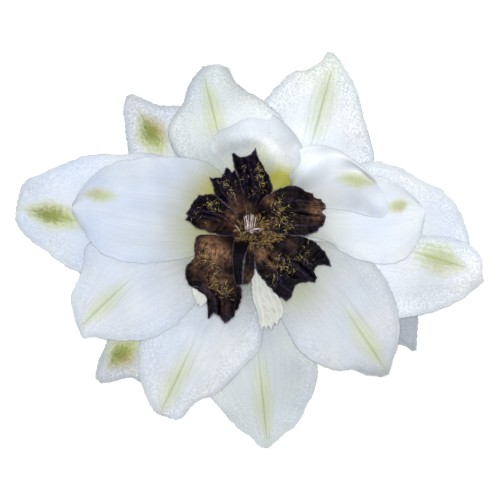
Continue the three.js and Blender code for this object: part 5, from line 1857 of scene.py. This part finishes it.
@dataclass(frozen=True)
class Perianth:
    """The sepals, the dark petals and the petaloids, with the hairs that grow on the petals."""

    hairs: HairCoat = HairCoat("golden_hairs", 20.0, 0.66, 0.021, 0.7, 1.3, 3)

    def build(self) -> None:
        """Builds every blade and the golden hairs."""
        for sepal in SEPALS:
            settle(sepal.build(), WHITE_SEPAL, "white_sepal", sepal.name)
        petals = [petal.build() for petal in PETALS]
        hairy = [petal.name for petal in PETALS if petal.hairs]
        self.hairs.grow(petals, GOLDEN_HAIR, "dark_petal", *hairy)
        for petal, piece in zip(PETALS, petals):
            settle(piece, DARK_PETAL, "dark_petal", petal.name.removesuffix("_flap"))
        for petaloid in PETALOIDS:
            settle(petaloid.build(), CREAM_PETALOID, "cream_petaloid", petaloid.name)


@dataclass(frozen=True)
class Studio:
    """The plain pale floor, the soft light and the camera that looks straight down. Sizes in metres."""

    floor_size: float = 4.0
    floor_gap: float = 0.00002
    camera_height: float = 1.5
    field: float = 0.075  # what the picture's width covers
    focus_height: float = 0.005
    sensor: float = 36.0
    middle: Point = (0.00009, 0.00007)
    key_size: float = 0.1
    key_place: Triple = (0.0, 0.02, 1.6)
    key_power: float = 26.2
    world_colour: tuple[float, float, float, float] = (0.97, 0.985, 1.0, 1.0)
    world_strength: float = 0.28

    def place(self, data: bpy.types.ID, location: Triple) -> Piece:
        """Puts a lamp or a camera in the scene.

        Args:
            data: the lamp or the camera.
            location: where it goes.

        Returns:
            Its object.
        """
        placed = bpy.data.objects.new(data.name, data)
        placed.location = location
        bpy.context.scene.collection.objects.link(placed)
        return placed

    def floor(self) -> None:
        """Lays the floor just under the flower."""
        half, top = self.floor_size / 2 / MM, -self.floor_gap / MM
        corners = [(x * half, y * half, top) for x, y in ((-1, -1), (1, -1), (1, 1), (-1, 1))]
        floor = new_piece("floor", np.array(corners), [[0, 1, 2, 3]])
        floor.data.materials.append(PAPER_FLOOR.material())

    def lights(self) -> None:
        """Hangs one lamp by the camera, so that its shadows stay out of sight, and fills all round."""
        lamp = bpy.data.lights.new("key", "AREA")
        lamp.shape = "DISK"
        lamp.size = self.key_size
        lamp.energy = self.key_power
        key = self.place(lamp, self.key_place)
        key.rotation_euler = (-key.location).to_track_quat("-Z", "Y").to_euler()
        world = bpy.data.worlds.new("soft_room")
        world.use_nodes = True
        background = world.node_tree.nodes["Background"]
        background.inputs["Color"].default_value = self.world_colour
        background.inputs["Strength"].default_value = self.world_strength
        bpy.context.scene.world = world

    def camera(self) -> None:
        """Puts the camera over the flower's middle, with its top towards +Y."""
        data = bpy.data.cameras.new("camera")
        data.sensor_width = self.sensor
        data.lens = self.sensor * (self.camera_height - self.focus_height) / self.field
        data.clip_start, data.clip_end = 0.01, 20.0
        bpy.context.scene.camera = self.place(data, (*self.middle, self.camera_height))

    def build(self) -> None:
        """Sets the whole studio up."""
        self.camera()
        self.lights()
        self.floor()
        bpy.context.scene.view_settings.view_transform = "Standard"


def main() -> None:
    """Builds the studio and the flower, piece by piece."""
    logging.basicConfig(level=logging.INFO, format="%(name)s: %(message)s")
    Studio().build()
    for assembly in (Perianth(), Spur(), Stem(), Stamens(), Pistil()):
        LOG.info("building %s", type(assembly).__name__)
        assembly.build()


if __name__ == "__main__":
    main()
